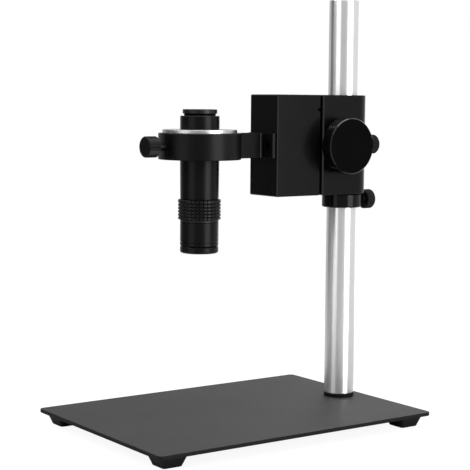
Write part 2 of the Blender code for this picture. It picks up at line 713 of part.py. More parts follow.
def make_carriage(surface, steel, brass, screw_surface):
    pivot("carriage_pivot", (0, block_front_y, block_middle), "head_pivot")
    body = block(2 * BLOCK_HALF_WIDTH, CARRIAGE_DEPTH, BLOCK_HEIGHT)
    chamfer_rim(body, CARRIAGE_EDGE_ROUND)
    middle_y = (carriage_front_y + carriage_rear_y) / 2
    body = place(body, "carriage_block", surface, (0, middle_y, block_middle),
                 "carriage_pivot", sharp=radians(50))

    seat_half = dovetail(RUN, 0, DOVETAIL_DEPTH)[0][0]
    over = 4 * GAP
    groove_depth = BAR_SEAT_DEPTH + GAP
    groove = place(block(2 * (seat_half + GAP), groove_depth + over, BLOCK_HEIGHT + over),
                   "guide_bar_groove", None,
                   (0, carriage_rear_y - groove_depth + (groove_depth + over) / 2,
                    block_middle), "carriage_pivot")

    bar_front = carriage_rear_y - BAR_SEAT_DEPTH
    bar_rear = DOVETAIL_DEPTH - GAP
    right = [(seat_half, bar_front - block_front_y)] + dovetail(RUN, 0, bar_rear)
    outline = right + [(-x, y) for x, y in reversed(right)]
    bar = place(prism(outline, -BLOCK_HEIGHT / 2, BLOCK_HEIGHT / 2), "slide_bar", steel,
                (0, block_front_y, block_middle), "carriage_pivot")
    rack_floor = bar_rear - RACK_SEAT_DEPTH
    rack_groove = place(block(2 * (RACK_HALF_WIDTH + GAP), RACK_SEAT_DEPTH + over,
                              BLOCK_HEIGHT + over), "guide_rack_groove", None,
                        (0, block_front_y + rack_floor + (RACK_SEAT_DEPTH + over) / 2,
                         block_middle), "carriage_pivot")

    screw_seat = block_front_y + rack_floor
    screw_length = screw_seat - bar_front + GAP + SCREW_BITE
    bar_cuts = [rack_groove]
    body_cuts = [groove]
    for level, sign in (("upper", 1), ("lower", -1)):
        seat = (0, screw_seat - GAP, block_middle + sign * SLIDE_SCREW_SPREAD)
        name = f"slide_screw_{level}"
        make_countersunk(name, screw_surface, seat, FRONT, screw_length, "carriage_pivot")
        sink = countersink(f"{name}_hole", seat, FRONT, screw_length, "carriage_pivot")
        bar_cuts.append(sink)
        body_cuts.append(sink)
    cut(bar, *bar_cuts)

    grub_hole_radius = SIDE_GRUB_RADIUS + GAP
    grub_y = carriage_rear_y - SIDE_GRUB_WALL - grub_hole_radius
    grub_z = block_top - SIDE_GRUB_DROP
    grub_start = seat_half + GAP
    body_cuts.append(drill("side_grub_hole", grub_hole_radius, (grub_start - GAP, grub_y, grub_z),
                           RIGHT, BLOCK_HALF_WIDTH, "carriage_pivot", TINY))
    grub_length = BLOCK_HALF_WIDTH - SIDE_GRUB_RECESS - grub_start
    make_grub("slide_grub", screw_surface, SIDE_GRUB_RADIUS, grub_length,
              (grub_start, grub_y, grub_z), RIGHT, "carriage_pivot")
    make_rack(brass, rack_floor + GAP)
    body_cuts += make_arm(surface, screw_surface)
    cut(body, *body_cuts)


def make_rack(surface, back):
    # Teeth face the pinion; a tooth space is level with the knob axis
    pitch = pi * GEAR_MODULE
    teeth = int((BLOCK_HEIGHT - 2 * RACK_END_MARGIN) / pitch)
    slope = tan(PRESSURE_ANGLE)
    half = (pitch / 2 - TOOTH_BACKLASH) / 2
    tip = TOOTH_ADDENDUM * GEAR_MODULE
    root = TOOTH_DEDENDUM * GEAR_MODULE
    length = teeth * pitch
    first = drive_z - block_middle - round((drive_z - block_middle + length / 2) / pitch) * pitch
    outline = [(-length / 2, back), (-length / 2, RACK_INSET - root)]
    for number in range(teeth + 1):
        centre = first + (number + 0.5) * pitch
        if abs(centre) + half + slope * root > length / 2:
            continue
        outline += [(centre - half - slope * root, RACK_INSET - root),
                    (centre - half + slope * tip, RACK_INSET + tip),
                    (centre + half - slope * tip, RACK_INSET + tip),
                    (centre + half + slope * root, RACK_INSET - root)]
    outline += [(length / 2, RACK_INSET - root), (length / 2, back)]
    # Drawn with its length along X, then stood up
    rack = prism(outline, -RACK_HALF_WIDTH, RACK_HALF_WIDTH)
    bmesh.ops.rotate(rack, cent=(0, 0, 0), matrix=Matrix.Rotation(-pi / 2, 3, "Y"),
                     verts=rack.verts)
    place(rack, "focus_rack", surface, (0, block_front_y, block_middle), "carriage_pivot")


# Ring arm with its two flush screws and the thumbscrew that grips the adapter

def arm_outline():
    # Seen from above with the ring centre at the origin and the flange towards +Y
    web = ARM_HALF_WEB
    fillet = ARM_RING_FILLET
    rear = LENS_REACH - GAP
    front = rear - ARM_FLANGE_THICKNESS
    centre_x = web + fillet
    centre_y = sqrt((ring_radius + fillet) ** 2 - centre_x ** 2)
    lean = atan2(centre_y, centre_x)
    ring = arc(0, 0, ring_radius, pi - lean, 2 * pi + lean, FINE)
    right = arc(centre_x, centre_y, fillet, pi + lean, pi, 4)
    corner = ARM_FLANGE_FILLET
    right += [(x, y) for x, y in arc(web + corner, front - corner, corner, pi, pi / 2, 3)]
    edge = ARM_FLANGE_ROUND
    half = ARM_FLANGE_HALF_WIDTH
    right += arc(half - edge, front + edge, edge, -pi / 2, 0, 3)
    right.append((half, rear))
    left = [(-x, y) for x, y in reversed(right)]
    return ring[1:-1] + right + left


def make_arm(surface, screw_surface):
    arm = prism(arm_outline(), -ARM_HEIGHT / 2, ARM_HEIGHT / 2)
    chamfer_rim(arm, ARM_EDGE_CHAMFER)
    arm = place(arm, "ring_arm", surface, (0, lens_y, block_middle), "carriage_pivot",
                sharp=radians(25))
    over = 4 * GAP
    cuts = [drill("ring_bore", ring_bore_radius, (0, lens_y, arm_bottom), UP,
                  ARM_HEIGHT + over, "carriage_pivot", FINE, over),
            drill("ring_screw_hole", THUMB_SHANK_RADIUS + RUN,
                  (0, lens_y - SLEEVE_RADIUS + RUN, block_middle), FRONT,
                  RING_WALL * 2, "carriage_pivot")]
    face = carriage_front_y - GAP - ARM_FLANGE_THICKNESS
    length = ARM_FLANGE_THICKNESS + GAP + SCREW_BITE
    sinks = []
    for side, sign in (("left", -1), ("right", 1)):
        offset = sign * (ARM_FLANGE_HALF_WIDTH - ARM_SCREW_INSET)
        seat = (offset, face + GAP, block_middle)
        name = f"arm_screw_{side}"
        make_countersunk(name, screw_surface, seat, REAR, length, "carriage_pivot")
        sinks.append(countersink(f"{name}_hole", seat, REAR, length, "carriage_pivot"))
    cut(arm, *cuts, *sinks)

    tip = (0, lens_y - SLEEVE_RADIUS - GAP, block_middle)
    pivot("ring_screw_pivot", tip, "carriage_pivot")
    shank = RING_WALL + RING_SCREW_STANDOFF + RUN - GAP
    make_thumbscrew("ring_thumbscrew", screw_surface, tip, FRONT, shank, "ring_screw_pivot",
                    RING_SCREW_THICKNESS)
    return sinks


# Lens in its adapter ring

def make_glass(name, surface, radius, edge, middle_z, body):
    crown = arc(0, 0, 1, 0, pi / 2, 2)
    upper = [(radius * x, middle_z + edge / 2 + GLASS_CROWN * y) for x, y in crown]
    lower = [(radius * x, middle_z - edge / 2 - GLASS_CROWN * y) for x, y in reversed(crown)]
    place(turned(lower + upper, SMALL, False), name, surface, (0, lens_y, 0), body)


def make_lens(surface, silver, plastic, glass, screw_surface, brass):
    pivot("lens_pivot", (0, lens_y, block_middle), "carriage_pivot")
    pivots_z = block_middle
    bore = tube_radius + GAP
    flange_top = flange_bottom + FLANGE_THICKNESS
    profile = [(bore, sleeve_bottom), (SLEEVE_RADIUS, sleeve_bottom),
               (SLEEVE_RADIUS, flange_bottom), (flange_radius, flange_bottom),
               (flange_radius, flange_top - FLANGE_EDGE_CHAMFER),
               (flange_radius - FLANGE_EDGE_CHAMFER, flange_top), (bore, flange_top)]
    adapter = place(turned([(r, z - pivots_z) for r, z in profile], FINE), "adapter_ring",
                    silver, (0, lens_y, pivots_z), "lens_pivot", sharp=radians(25))
    grub_z = arm_top - SLEEVE_GRUB_DROP
    grub_length = SLEEVE_RADIUS - bore - 2 * GAP
    grubs = []
    for place_name, angle in (("rear", pi / 2), ("left", pi * 7 / 6), ("right", -pi / 6)):
        out = Vector((cos(angle), sin(angle), 0))
        axis = Vector((0, lens_y, grub_z))
        grubs.append(drill(f"adapter_{place_name}_hole", GRUB_RADIUS + GAP,
                           axis + out * tube_radius, out, SLEEVE_RADIUS, "lens_pivot",
                           TINY))
        make_grub(f"adapter_grub_{place_name}", screw_surface, GRUB_RADIUS, grub_length,
                  axis + out * (bore + GAP), out, "lens_pivot")
    cut(adapter, *grubs)

    make_tube(surface)
    make_cap(plastic)
    make_zoom(surface, glass, brass)
    make_front(surface, glass)

    ledge = mount_top - REAR_LENS_DEPTH
    rear_middle = ledge + GAP + GLASS_CROWN + REAR_LENS_EDGE / 2
    make_glass("rear_lens", glass, rear_lens_radius, REAR_LENS_EDGE, rear_middle, "lens_pivot")
    low = rear_middle + REAR_LENS_EDGE / 2 + GAP
    keeper = [(rear_aperture_radius, low), (rear_lens_radius, low),
              (rear_lens_radius, low + RETAINER_HEIGHT),
              (rear_aperture_radius, low + RETAINER_HEIGHT)]
    place(turned(keeper, SMALL), "rear_retainer", surface, (0, lens_y, 0), "lens_pivot")


def make_tube(surface):
    # Screw mount, tube and the neck that carries the zoom ring and the lower barrel
    ledge = mount_top - REAR_LENS_DEPTH
    relief = cap_radius + GAP
    seat_top = lower_bottom + 2 * GLASS_CROWN + FRONT_LENS_EDGE + GAP
    profile = [(rear_seat_radius, mount_top), (MOUNT_RADIUS, mount_top),
               (MOUNT_RADIUS, tube_top - RELIEF_DEPTH), (relief, tube_top - RELIEF_DEPTH),
               (relief, tube_top), (tube_radius - TUBE_CHAMFER, tube_top),
               (tube_radius, tube_top - TUBE_CHAMFER), (tube_radius, sleeve_bottom),
               (barrel_radius, tube_bottom + TUBE_CHAMFER),
               (barrel_radius - TUBE_CHAMFER, tube_bottom), (neck_radius, tube_bottom),
               (neck_radius, lower_bottom), (front_seat_radius, lower_bottom),
               (front_seat_radius, seat_top), (lens_bore_radius, seat_top),
               (lens_bore_radius, ledge - REAR_LEDGE),
               (rear_aperture_radius, ledge - REAR_LEDGE), (rear_aperture_radius, ledge),
               (rear_seat_radius, ledge)]
    tube = place(turned(profile), "lens_tube", surface, (0, lens_y, 0), "lens_pivot",
                 sharp=radians(25))
    # Straight slot in the neck for the zoom cell's cam pin
    half = CAM_PIN_RADIUS + RUN
    end = CELL_HALF_TRAVEL
    steps = 6
    outline = arc(0, end, half, 0, pi, steps) + arc(0, -end, half, pi, 2 * pi, steps)
    slot = place(prism(outline, lens_bore_radius / 2, zoom_radius), "guide_cam_slot", None,
                 (0, lens_y, zoom_middle), "lens_pivot", RIGHT)
    slot.rotation_quaternion = Matrix(((0, 0, 1), (1, 0, 0), (0, 1, 0))).to_quaternion()
    cut(tube, slot)


def make_cap(surface):
    top = mount_top + GAP + CAP_TOP_THICKNESS
    bottom = top - CAP_HEIGHT
    profile = [(0, mount_top + GAP), (cap_inner_radius, mount_top + GAP),
               (cap_inner_radius, bottom), (cap_radius, bottom),
               (cap_radius, top - CAP_CHAMFER), (cap_radius - CAP_CHAMFER, top), (0, top)]
    place(turned(profile, ROUND, False), "dust_cap", surface, (0, lens_y, 0), "lens_pivot",
          sharp=radians(25))


def make_zoom(surface, glass, brass):
    pivot("zoom_pivot", (0, lens_y, zoom_middle), "lens_pivot")
    inner = neck_radius + RUN
    low = zoom_radius - ZOOM_RIB_HEIGHT
    half = ZOOM_LENGTH / 2
    pitch = (ZOOM_LENGTH - ZOOM_END_LENGTH - ZOOM_TOP_CHAMFER) / ZOOM_RIB_COUNT
    # Ribs with V grooves between them from the top down; the last slopes to the plain end
    profile = [(inner, half), (zoom_radius - ZOOM_TOP_CHAMFER, half)]
    for rib in range(ZOOM_RIB_COUNT):
        top = half - ZOOM_TOP_CHAMFER - rib * pitch
        profile += [(zoom_radius, top), (zoom_radius, top - pitch + 2 * ZOOM_RIB_HEIGHT),
                    (low, top - pitch + ZOOM_RIB_HEIGHT)]
    profile[-1] = (barrel_radius, ZOOM_END_LENGTH - half)
    profile += [(barrel_radius, -half), (inner, -half)]
    ring = place(turned(profile), "zoom_ring", surface, (0, lens_y, zoom_middle), "zoom_pivot",
                 sharp=radians(25))
    cut(ring, cam_groove())

    pivot("cell_pivot", (0, lens_y, zoom_middle), "lens_pivot")
    lens_seat = cell_lens_radius + GAP
    aperture = cell_lens_radius - CELL_LEDGE
    end = CELL_LENGTH / 2
    profile = [(aperture, -end), (cell_radius, -end), (cell_radius, end), (lens_seat, end),
               (lens_seat, 0), (aperture, 0)]
    cell = place(turned(profile), "zoom_cell", brass, (0, lens_y, zoom_middle), "cell_pivot")
    at = Vector((0, lens_y, zoom_middle))
    cut(cell, drill("cam_pin_hole", CAM_PIN_RADIUS + GAP, at + RIGHT * aperture / 2, RIGHT,
                    zoom_radius, "cell_pivot", TINY))
    groove_floor = inner + CAM_GROOVE_DEPTH
    pin = rod(CAM_PIN_RADIUS, 0, groove_floor - RUN - lens_seat - GAP, TINY)
    place(pin, "cam_pin", brass, at + RIGHT * (lens_seat + GAP), "cell_pivot", RIGHT)
    make_glass("zoom_lens", glass, cell_lens_radius, FRONT_LENS_EDGE,
               zoom_middle + end - FRONT_LENS_EDGE, "cell_pivot")


def cam_groove():
    # Helical groove inside the zoom ring, swept as a flat-sided channel round the axis
    inner = neck_radius + RUN
    floor = inner + CAM_GROOVE_DEPTH
    start = inner - CAM_GROOVE_DEPTH
    half = CAM_PIN_RADIUS + RUN
    margin = half / inner + radians(3)
    reach = ZOOM_HALF_TURN + margin
    steps = 18
    bm = bmesh.new()
    rows = []
    for step in range(steps + 1):
        angle = -reach + 2 * reach * step / steps
        height = -cell_rise_per_radian * angle
        side = half * sqrt(1 + (cell_rise_per_radian / inner) ** 2)
        rows.append([bm.verts.new((r * cos(angle), r * sin(angle), height + z))
                     for r, z in ((start, -side), (floor, -side), (floor, side), (start, side))])
    for near, far in zip(rows, rows[1:]):
        for i in range(4):
            j = (i + 1) % 4
            bm.faces.new((near[i], near[j], far[j], far[i]))
    bm.faces.new(rows[0])
    bm.faces.new(reversed(rows[-1]))
    return place(bm, "guide_cam_groove", None, (0, lens_y, zoom_middle), "zoom_pivot")


def make_front(surface, glass):
    inner = neck_radius + GAP
    groove = barrel_radius - LOWER_GROOVE_DEPTH
    line = lower_bottom + LOWER_GROOVE_RISE
    profile = [(inner, lower_bottom), (groove, lower_bottom),
               (barrel_radius, lower_bottom + TUBE_CHAMFER), (barrel_radius, line),
               (groove, line), (groove, line + LOWER_GROOVE_WIDTH),
               (barrel_radius, line + LOWER_GROOVE_WIDTH),
               (barrel_radius, lower_top - TUBE_CHAMFER),
               (barrel_radius - TUBE_CHAMFER, lower_top), (inner, lower_top)]
    place(turned(profile), "lower_barrel", surface, (0, lens_y, 0), "lens_pivot",
          sharp=radians(25))

    lip = arc(barrel_radius - FRONT_ROUND, front_bottom + FRONT_ROUND, FRONT_ROUND,
              -pi / 2, 0, 3)
    mouth = front_aperture_radius + FRONT_LENGTH / 2
    profile = [(front_aperture_radius, front_top), (mouth, front_bottom)] + lip + [
        (barrel_radius, front_top - TUBE_CHAMFER), (groove, front_top)]
    place(turned(profile), "front_ring", surface, (0, lens_y, 0), "lens_pivot",
          sharp=radians(25))
    middle = lower_bottom + GLASS_CROWN + FRONT_LENS_EDGE / 2
    make_glass("front_lens", glass, front_lens_radius, FRONT_LENS_EDGE, middle, "lens_pivot")


def build():
    clear_scene()
    paint = finish("satin_black_paint", (0.055, 0.055, 0.057), 0.45)
    anodised = finish("black_anodised", (0.022, 0.022, 0.023), 0.42)
    knob_black = finish("knob_black", (0.016, 0.016, 0.017), 0.35)
    rubber = finish("black_rubber", (0.020, 0.020, 0.020), 0.80)
    polished = finish("polished_metal", (0.82, 0.82, 0.83), 0.18, 1.0)
    silver = finish("silver_aluminium", (0.86, 0.86, 0.87), 0.25, 1.0)
    steel = finish("ground_steel", (0.55, 0.55, 0.57), 0.30, 1.0)
    brass = finish("brass", (0.72, 0.56, 0.30), 0.35, 1.0)
    screw_black = finish("blackened_steel", (0.030, 0.030, 0.032), 0.40, 0.6)
    plastic = finish("black_plastic", (0.025, 0.025, 0.026), 0.40)
    glass = finish("coated_glass", (0.32, 0.42, 0.50), 0.05)

    make_base(paint, rubber, polished, screw_black)
    make_collar(anodised, screw_black)
    make_block(anodised, screw_black, brass)
    make_drive(steel, knob_black, screw_black)
    make_carriage(anodised, steel, brass, screw_black)
    make_lens(anodised, silver, plastic, glass, screw_black, brass)


build()
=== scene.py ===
import math

import bmesh
import bpy
from mathutils import Matrix, Vector


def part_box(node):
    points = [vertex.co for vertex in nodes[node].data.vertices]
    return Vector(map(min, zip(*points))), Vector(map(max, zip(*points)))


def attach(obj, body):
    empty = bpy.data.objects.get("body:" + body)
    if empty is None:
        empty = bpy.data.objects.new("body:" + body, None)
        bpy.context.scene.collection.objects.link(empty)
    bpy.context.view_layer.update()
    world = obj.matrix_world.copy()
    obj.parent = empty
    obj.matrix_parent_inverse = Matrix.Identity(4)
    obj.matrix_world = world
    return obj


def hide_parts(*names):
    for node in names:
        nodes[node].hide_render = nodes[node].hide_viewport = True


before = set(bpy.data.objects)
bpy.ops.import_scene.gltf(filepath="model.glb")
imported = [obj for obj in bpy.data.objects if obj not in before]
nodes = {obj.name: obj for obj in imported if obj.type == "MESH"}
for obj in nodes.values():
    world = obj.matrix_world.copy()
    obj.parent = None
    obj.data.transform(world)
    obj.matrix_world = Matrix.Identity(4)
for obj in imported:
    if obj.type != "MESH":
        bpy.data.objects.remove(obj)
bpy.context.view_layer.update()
print("frame loaded,", len(nodes), "nodes")


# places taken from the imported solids
def middleOf(node):
    low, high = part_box(node)
    return (low + high) / 2


postLow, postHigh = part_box("post")
postCentre = middleOf("post")
lensCentre = middleOf("lens_tube")

# what every finish shares: noise is spread over the middle of its range
noiseSize = {"detail": 3.0, "fineDetail": 4.0, "fineScale": 1, "roughness": 0.55,
             "rangeLow": 0.3, "rangeHigh": 0.7, "colourLow": 0.35, "colourHigh": 0.65}
evenScale = (1, 1, 1)
quarterTurn = 0.25


def startMaterial(name):
    material = bpy.data.materials.new(name)
    material.use_nodes = True
    tree = material.node_tree
    shader = tree.nodes["Principled BSDF"]
    coordinates = tree.nodes.new("ShaderNodeTexCoord")
    coordinates.location = (-1200, 0)
    return material, tree, shader, coordinates


def addMapping(tree, coordinates, scale):
    mapping = tree.nodes.new("ShaderNodeMapping")
    mapping.location = (-1000, 0)
    mapping.inputs["Scale"].default_value = scale
    tree.links.new(coordinates.outputs["Object"], mapping.inputs["Vector"])
    return mapping


def addNoise(tree, mapping, scale, detail=noiseSize["detail"]):
    noise = tree.nodes.new("ShaderNodeTexNoise")
    noise.location = (-800, 0)
    noise.inputs["Scale"].default_value = scale
    noise.inputs["Detail"].default_value = detail
    noise.inputs["Roughness"].default_value = noiseSize["roughness"]
    tree.links.new(mapping.outputs["Vector"], noise.inputs["Vector"])
    return noise


def addRange(tree, source, low, high):
    spread = tree.nodes.new("ShaderNodeMapRange")
    spread.location = (-600, -200)
    spread.inputs["From Min"].default_value = noiseSize["rangeLow"]
    spread.inputs["From Max"].default_value = noiseSize["rangeHigh"]
    spread.inputs["To Min"].default_value = low
    spread.inputs["To Max"].default_value = high
    tree.links.new(source, spread.inputs["Value"])
    return spread


def addColours(tree, source, dark, light):
    ramp = tree.nodes.new("ShaderNodeValToRGB")
    ramp.location = (-600, 200)
    ramp.color_ramp.elements[0].position = noiseSize["colourLow"]
    ramp.color_ramp.elements[0].color = (*dark, 1)
    ramp.color_ramp.elements[1].position = noiseSize["colourHigh"]
    ramp.color_ramp.elements[1].color = (*light, 1)
    tree.links.new(source, ramp.inputs["Fac"])
    return ramp


def addBump(tree, source, strength, distance):
    bump = tree.nodes.new("ShaderNodeBump")
    bump.location = (-300, -400)
    bump.inputs["Strength"].default_value = strength
    bump.inputs["Distance"].default_value = distance
    tree.links.new(source, bump.inputs["Height"])
    return bump


def addAround(tree, coordinates, centre):
    # the level direction round an upright axis through `centre`
    outward = tree.nodes.new("ShaderNodeVectorMath")
    outward.location = (-900, -600)
    outward.operation = "SUBTRACT"
    outward.inputs[1].default_value = (centre.x, centre.y, 0)
    around = tree.nodes.new("ShaderNodeVectorMath")
    around.location = (-700, -600)
    around.operation = "CROSS_PRODUCT"
    around.inputs[0].default_value = (0, 0, 1)
    carried = tree.nodes.new("ShaderNodeVectorTransform")
    carried.location = (-500, -600)
    carried.vector_type = "VECTOR"
    carried.convert_from = "OBJECT"
    carried.convert_to = "WORLD"
    tree.links.new(coordinates.outputs["Object"], outward.inputs[0])
    tree.links.new(outward.outputs["Vector"], around.inputs[1])
    tree.links.new(around.outputs["Vector"], carried.inputs["Vector"])
    return carried


def grainedFinish(name, look):
    # colour drifts slowly, roughness and bump follow a fine grain
    material, tree, shader, coordinates = startMaterial(name)
    slow = addNoise(tree, addMapping(tree, coordinates, evenScale), look["driftScale"])
    fine = addNoise(tree, addMapping(tree, coordinates, look["grain"]),
                    noiseSize["fineScale"], noiseSize["fineDetail"])
    colours = addColours(tree, slow.outputs["Fac"], look["dark"], look["light"])
    rough = addRange(tree, fine.outputs["Fac"], *look["roughness"])
    bump = addBump(tree, fine.outputs["Fac"], look["bump"], look["bumpDepth"])
    tree.links.new(colours.outputs["Color"], shader.inputs["Base Color"])
    tree.links.new(rough.outputs["Result"], shader.inputs["Roughness"])
    tree.links.new(bump.outputs["Normal"], shader.inputs["Normal"])
    shader.inputs["Metallic"].default_value = look.get("metallic", 0.0)
    shader.inputs["Specular IOR Level"].default_value = look.get("specular", 0.5)
    if "turned" in look:  # lathe marks run round the axis, so the gloss spreads up and down
        around = addAround(tree, coordinates, look["axis"])
        tree.links.new(around.outputs["Vector"], shader.inputs["Tangent"])
        shader.inputs["Anisotropic"].default_value = look["turned"]
        shader.inputs["Anisotropic Rotation"].default_value = quarterTurn
    return material


plateLacquerLook = {
    "driftScale": 30, "grain": (1400, 1400, 1400),
    "dark": (0.013, 0.013, 0.0135), "light": (0.018, 0.018, 0.0185),
    "roughness": (0.56, 0.68), "bump": 0.22, "bumpDepth": 0.0001, "specular": 0.42,
}
plateEdgeLook = {
    "driftScale": 60, "grain": (1400, 1400, 1400),
    "dark": (0.0060, 0.0060, 0.0062), "light": (0.0085, 0.0085, 0.0087),
    "roughness": (0.50, 0.62), "bump": 0.18, "bumpDepth": 0.00008, "specular": 0.16,
}
blockAnodiseLook = {
    "driftScale": 45, "grain": (2600, 2600, 2600),
    "dark": (0.0036, 0.0036, 0.0038), "light": (0.0048, 0.0048, 0.0050),
    "roughness": (0.18, 0.24), "bump": 0.05, "bumpDepth": 0.00004, "specular": 0.13,
}
armAnodiseLook = {
    "driftScale": 45, "grain": (2600, 2600, 2600),
    "dark": (0.0026, 0.0026, 0.0028), "light": (0.0038, 0.0038, 0.0040),
    "roughness": (0.30, 0.36), "bump": 0.06, "bumpDepth": 0.00004, "specular": 0.13,
}
# painted light: a lighter colour on the web's flanks fills the shade of its corner by the
# flange
webPaintedLightLook = {
    "driftScale": 45, "grain": (2600, 2600, 2600),
    "dark": (0.0062, 0.0062, 0.0064), "light": (0.0076, 0.0076, 0.0078),
    "roughness": (0.46, 0.54), "bump": 0.05, "bumpDepth": 0.00003, "specular": 0.07,
}
paintedHighlightEdgeLook = {  # painted highlight: cut corners that face the front, and chamfers that face up, are lighter and shine more than the faces
    "driftScale": 200, "grain": (3000, 3000, 300),
    "dark": (0.0060, 0.0060, 0.0062), "light": (0.0090, 0.0090, 0.0092),
    "roughness": (0.20, 0.28), "bump": 0.05, "bumpDepth": 0.00003, "specular": 0.65,
}
barrelAnodiseLook = {
    "driftScale": 60, "grain": (60, 60, 9000),
    "dark": (0.0020, 0.0020, 0.0022), "light": (0.0032, 0.0032, 0.0034),
    "roughness": (0.29, 0.37), "bump": 0.10, "bumpDepth": 0.00004, "specular": 0.14,
    "turned": 0.5, "axis": lensCentre,
}
zoomAnodiseLook = {
    "driftScale": 60, "grain": (60, 60, 9000),
    "dark": (0.0045, 0.0045, 0.0047), "light": (0.0065, 0.0065, 0.0067),
    "roughness": (0.30, 0.38), "bump": 0.08, "bumpDepth": 0.00004, "specular": 0.22,
}
collarAnodiseLook = {
    "driftScale": 60, "grain": (60, 60, 9000),
    "dark": (0.0036, 0.0036, 0.0038), "light": (0.0046, 0.0046, 0.0048),
    "roughness": (0.12, 0.18), "bump": 0.06, "bumpDepth": 0.00003, "specular": 0.16,
    "turned": 0.5, "axis": postCentre,
}
# painted light: the grooves are lighter in colour than the pads to lift the shade between the
# ribs
zoomGroovePaintedLightLook = {
    "driftScale": 60, "grain": (900, 900, 900),
    "dark": (0.0085, 0.0085, 0.0088), "light": (0.0105, 0.0105, 0.0108),
    "roughness": (0.34, 0.44), "bump": 0.05, "bumpDepth": 0.00003, "specular": 0.25,
}
knobFaceLook = {
    "driftScale": 60, "grain": (2200, 2200, 2200),
    "dark": (0.0013, 0.0013, 0.0014), "light": (0.0020, 0.0020, 0.0021),
    "roughness": (0.26, 0.34), "bump": 0.06, "bumpDepth": 0.00004, "specular": 0.022,
}
knobEdgeLook = {
    "driftScale": 200, "grain": (900, 900, 900),
    "dark": (0.0030, 0.0030, 0.0032), "light": (0.0045, 0.0045, 0.0047),
    "roughness": (0.05, 0.09), "bump": 0.02, "bumpDepth": 0.00002, "specular": 0.45,
}
knobRimLook = {
    "driftScale": 60, "grain": (2200, 2200, 2200),
    "dark": (0.0030, 0.0030, 0.0032), "light": (0.0045, 0.0045, 0.0047),
    "roughness": (0.18, 0.26), "bump": 0.05, "bumpDepth": 0.00003, "specular": 0.35,
}
postMetalLook = {
    "driftScale": 12, "grain": (25, 25, 5200),
    "dark": (0.86, 0.86, 0.865), "light": (0.92, 0.92, 0.925),
    "roughness": (0.28, 0.30), "bump": 0.01, "bumpDepth": 0.00002, "metallic": 1.0,
    "turned": 0.85, "axis": postCentre,
}
postEndLook = {
    "driftScale": 200, "grain": (2400, 2400, 2400),
    "dark": (0.50, 0.50, 0.505), "light": (0.62, 0.62, 0.625),
    "roughness": (0.30, 0.40), "bump": 0.06, "bumpDepth": 0.00003, "metallic": 1.0,
}
ringSilverLook = {
    "driftScale": 40, "grain": (70, 70, 6000),
    "dark": (0.53, 0.53, 0.535), "light": (0.59, 0.59, 0.595),
    "roughness": (0.32, 0.38), "bump": 0.02, "bumpDepth": 0.00003, "metallic": 1.0,
    "turned": 0.4, "axis": lensCentre,
}
footRubberLook = {
    "driftScale": 80, "grain": (1500, 1500, 1500),
    "dark": (0.006, 0.006, 0.006), "light": (0.010, 0.010, 0.010),
    "roughness": (0.45, 0.60), "bump": 0.20, "bumpDepth": 0.0001, "specular": 0.30,
}
spacerRubberLook = {
    "driftScale": 80, "grain": (1500, 1500, 1500),
    "dark": (0.003, 0.003, 0.003), "light": (0.005, 0.005, 0.005),
    "roughness": (0.45, 0.60), "bump": 0.15, "bumpDepth": 0.00008, "specular": 0.12,
}
capPlasticLook = {
    "driftScale": 50, "grain": (900, 900, 900),
    "dark": (0.004, 0.004, 0.0042), "light": (0.006, 0.006, 0.0062),
    "roughness": (0.32, 0.42), "bump": 0.10, "bumpDepth": 0.00006, "specular": 0.30,
}
screwOxideLook = {
    "driftScale": 120, "grain": (3000, 3000, 3000),
    "dark": (0.008, 0.008, 0.009), "light": (0.014, 0.014, 0.015),
    "roughness": (0.32, 0.46), "bump": 0.10, "bumpDepth": 0.00004, "specular": 0.40,
}
thumbOxideLook = {
    "driftScale": 120, "grain": (3000, 3000, 3000),
    "dark": (0.0030, 0.0030, 0.0032), "light": (0.0045, 0.0045, 0.0047),
    "roughness": (0.24, 0.32), "bump": 0.06, "bumpDepth": 0.00003, "specular": 0.20,
}
slideSteelLook = {
    "driftScale": 60, "grain": (4200, 4200, 90),
    "dark": (0.24, 0.24, 0.25), "light": (0.32, 0.32, 0.33),
    "roughness": (0.30, 0.42), "bump": 0.06, "bumpDepth": 0.00003, "metallic": 1.0,
}
rackBrassLook = {
    "driftScale": 70, "grain": (2600, 2600, 2600),
    "dark": (0.52, 0.36, 0.14), "light": (0.66, 0.48, 0.21),
    "roughness": (0.24, 0.36), "bump": 0.08, "bumpDepth": 0.00004, "metallic": 1.0,
}

plateLacquer = grainedFinish("plateLacquer", plateLacquerLook)
plateEdge = grainedFinish("plateEdge", plateEdgeLook)
blockAnodise = grainedFinish("blockAnodise", blockAnodiseLook)
armAnodise = grainedFinish("armAnodise", armAnodiseLook)
webPaintedLight = grainedFinish("webPaintedLight", webPaintedLightLook)
paintedHighlightEdge = grainedFinish("paintedHighlightEdge", paintedHighlightEdgeLook)
barrelAnodise = grainedFinish("barrelAnodise", barrelAnodiseLook)
zoomAnodise = grainedFinish("zoomAnodise", zoomAnodiseLook)
zoomGroovePaintedLight = grainedFinish("zoomGroovePaintedLight", zoomGroovePaintedLightLook)
collarAnodise = grainedFinish("collarAnodise", collarAnodiseLook)
knobFace = grainedFinish("knobFace", knobFaceLook)
knobRim = grainedFinish("knobRim", knobRimLook)
knobEdge = grainedFinish("knobEdge", knobEdgeLook)
postMetal = grainedFinish("postMetal", postMetalLook)
postEnd = grainedFinish("postEnd", postEndLook)
ringSilver = grainedFinish("ringSilver", ringSilverLook)
footRubber = grainedFinish("footRubber", footRubberLook)
spacerRubber = grainedFinish("spacerRubber", spacerRubberLook)
capPlastic = grainedFinish("capPlastic", capPlasticLook)
screwOxide = grainedFinish("screwOxide", screwOxideLook)
thumbOxide = grainedFinish("thumbOxide", thumbOxideLook)
slideSteel = grainedFinish("slideSteel", slideSteelLook)
rackBrass = grainedFinish("rackBrass", rackBrassLook)

lensGlassLook = {
    "driftScale": 90, "dark": (0.020, 0.030, 0.050), "light": (0.030, 0.045, 0.060),
    "roughness": (0.02, 0.05), "coat": 0.6, "coatTint": (0.55, 0.75, 1.0, 1),
    "coatRoughness": 0.03,
}


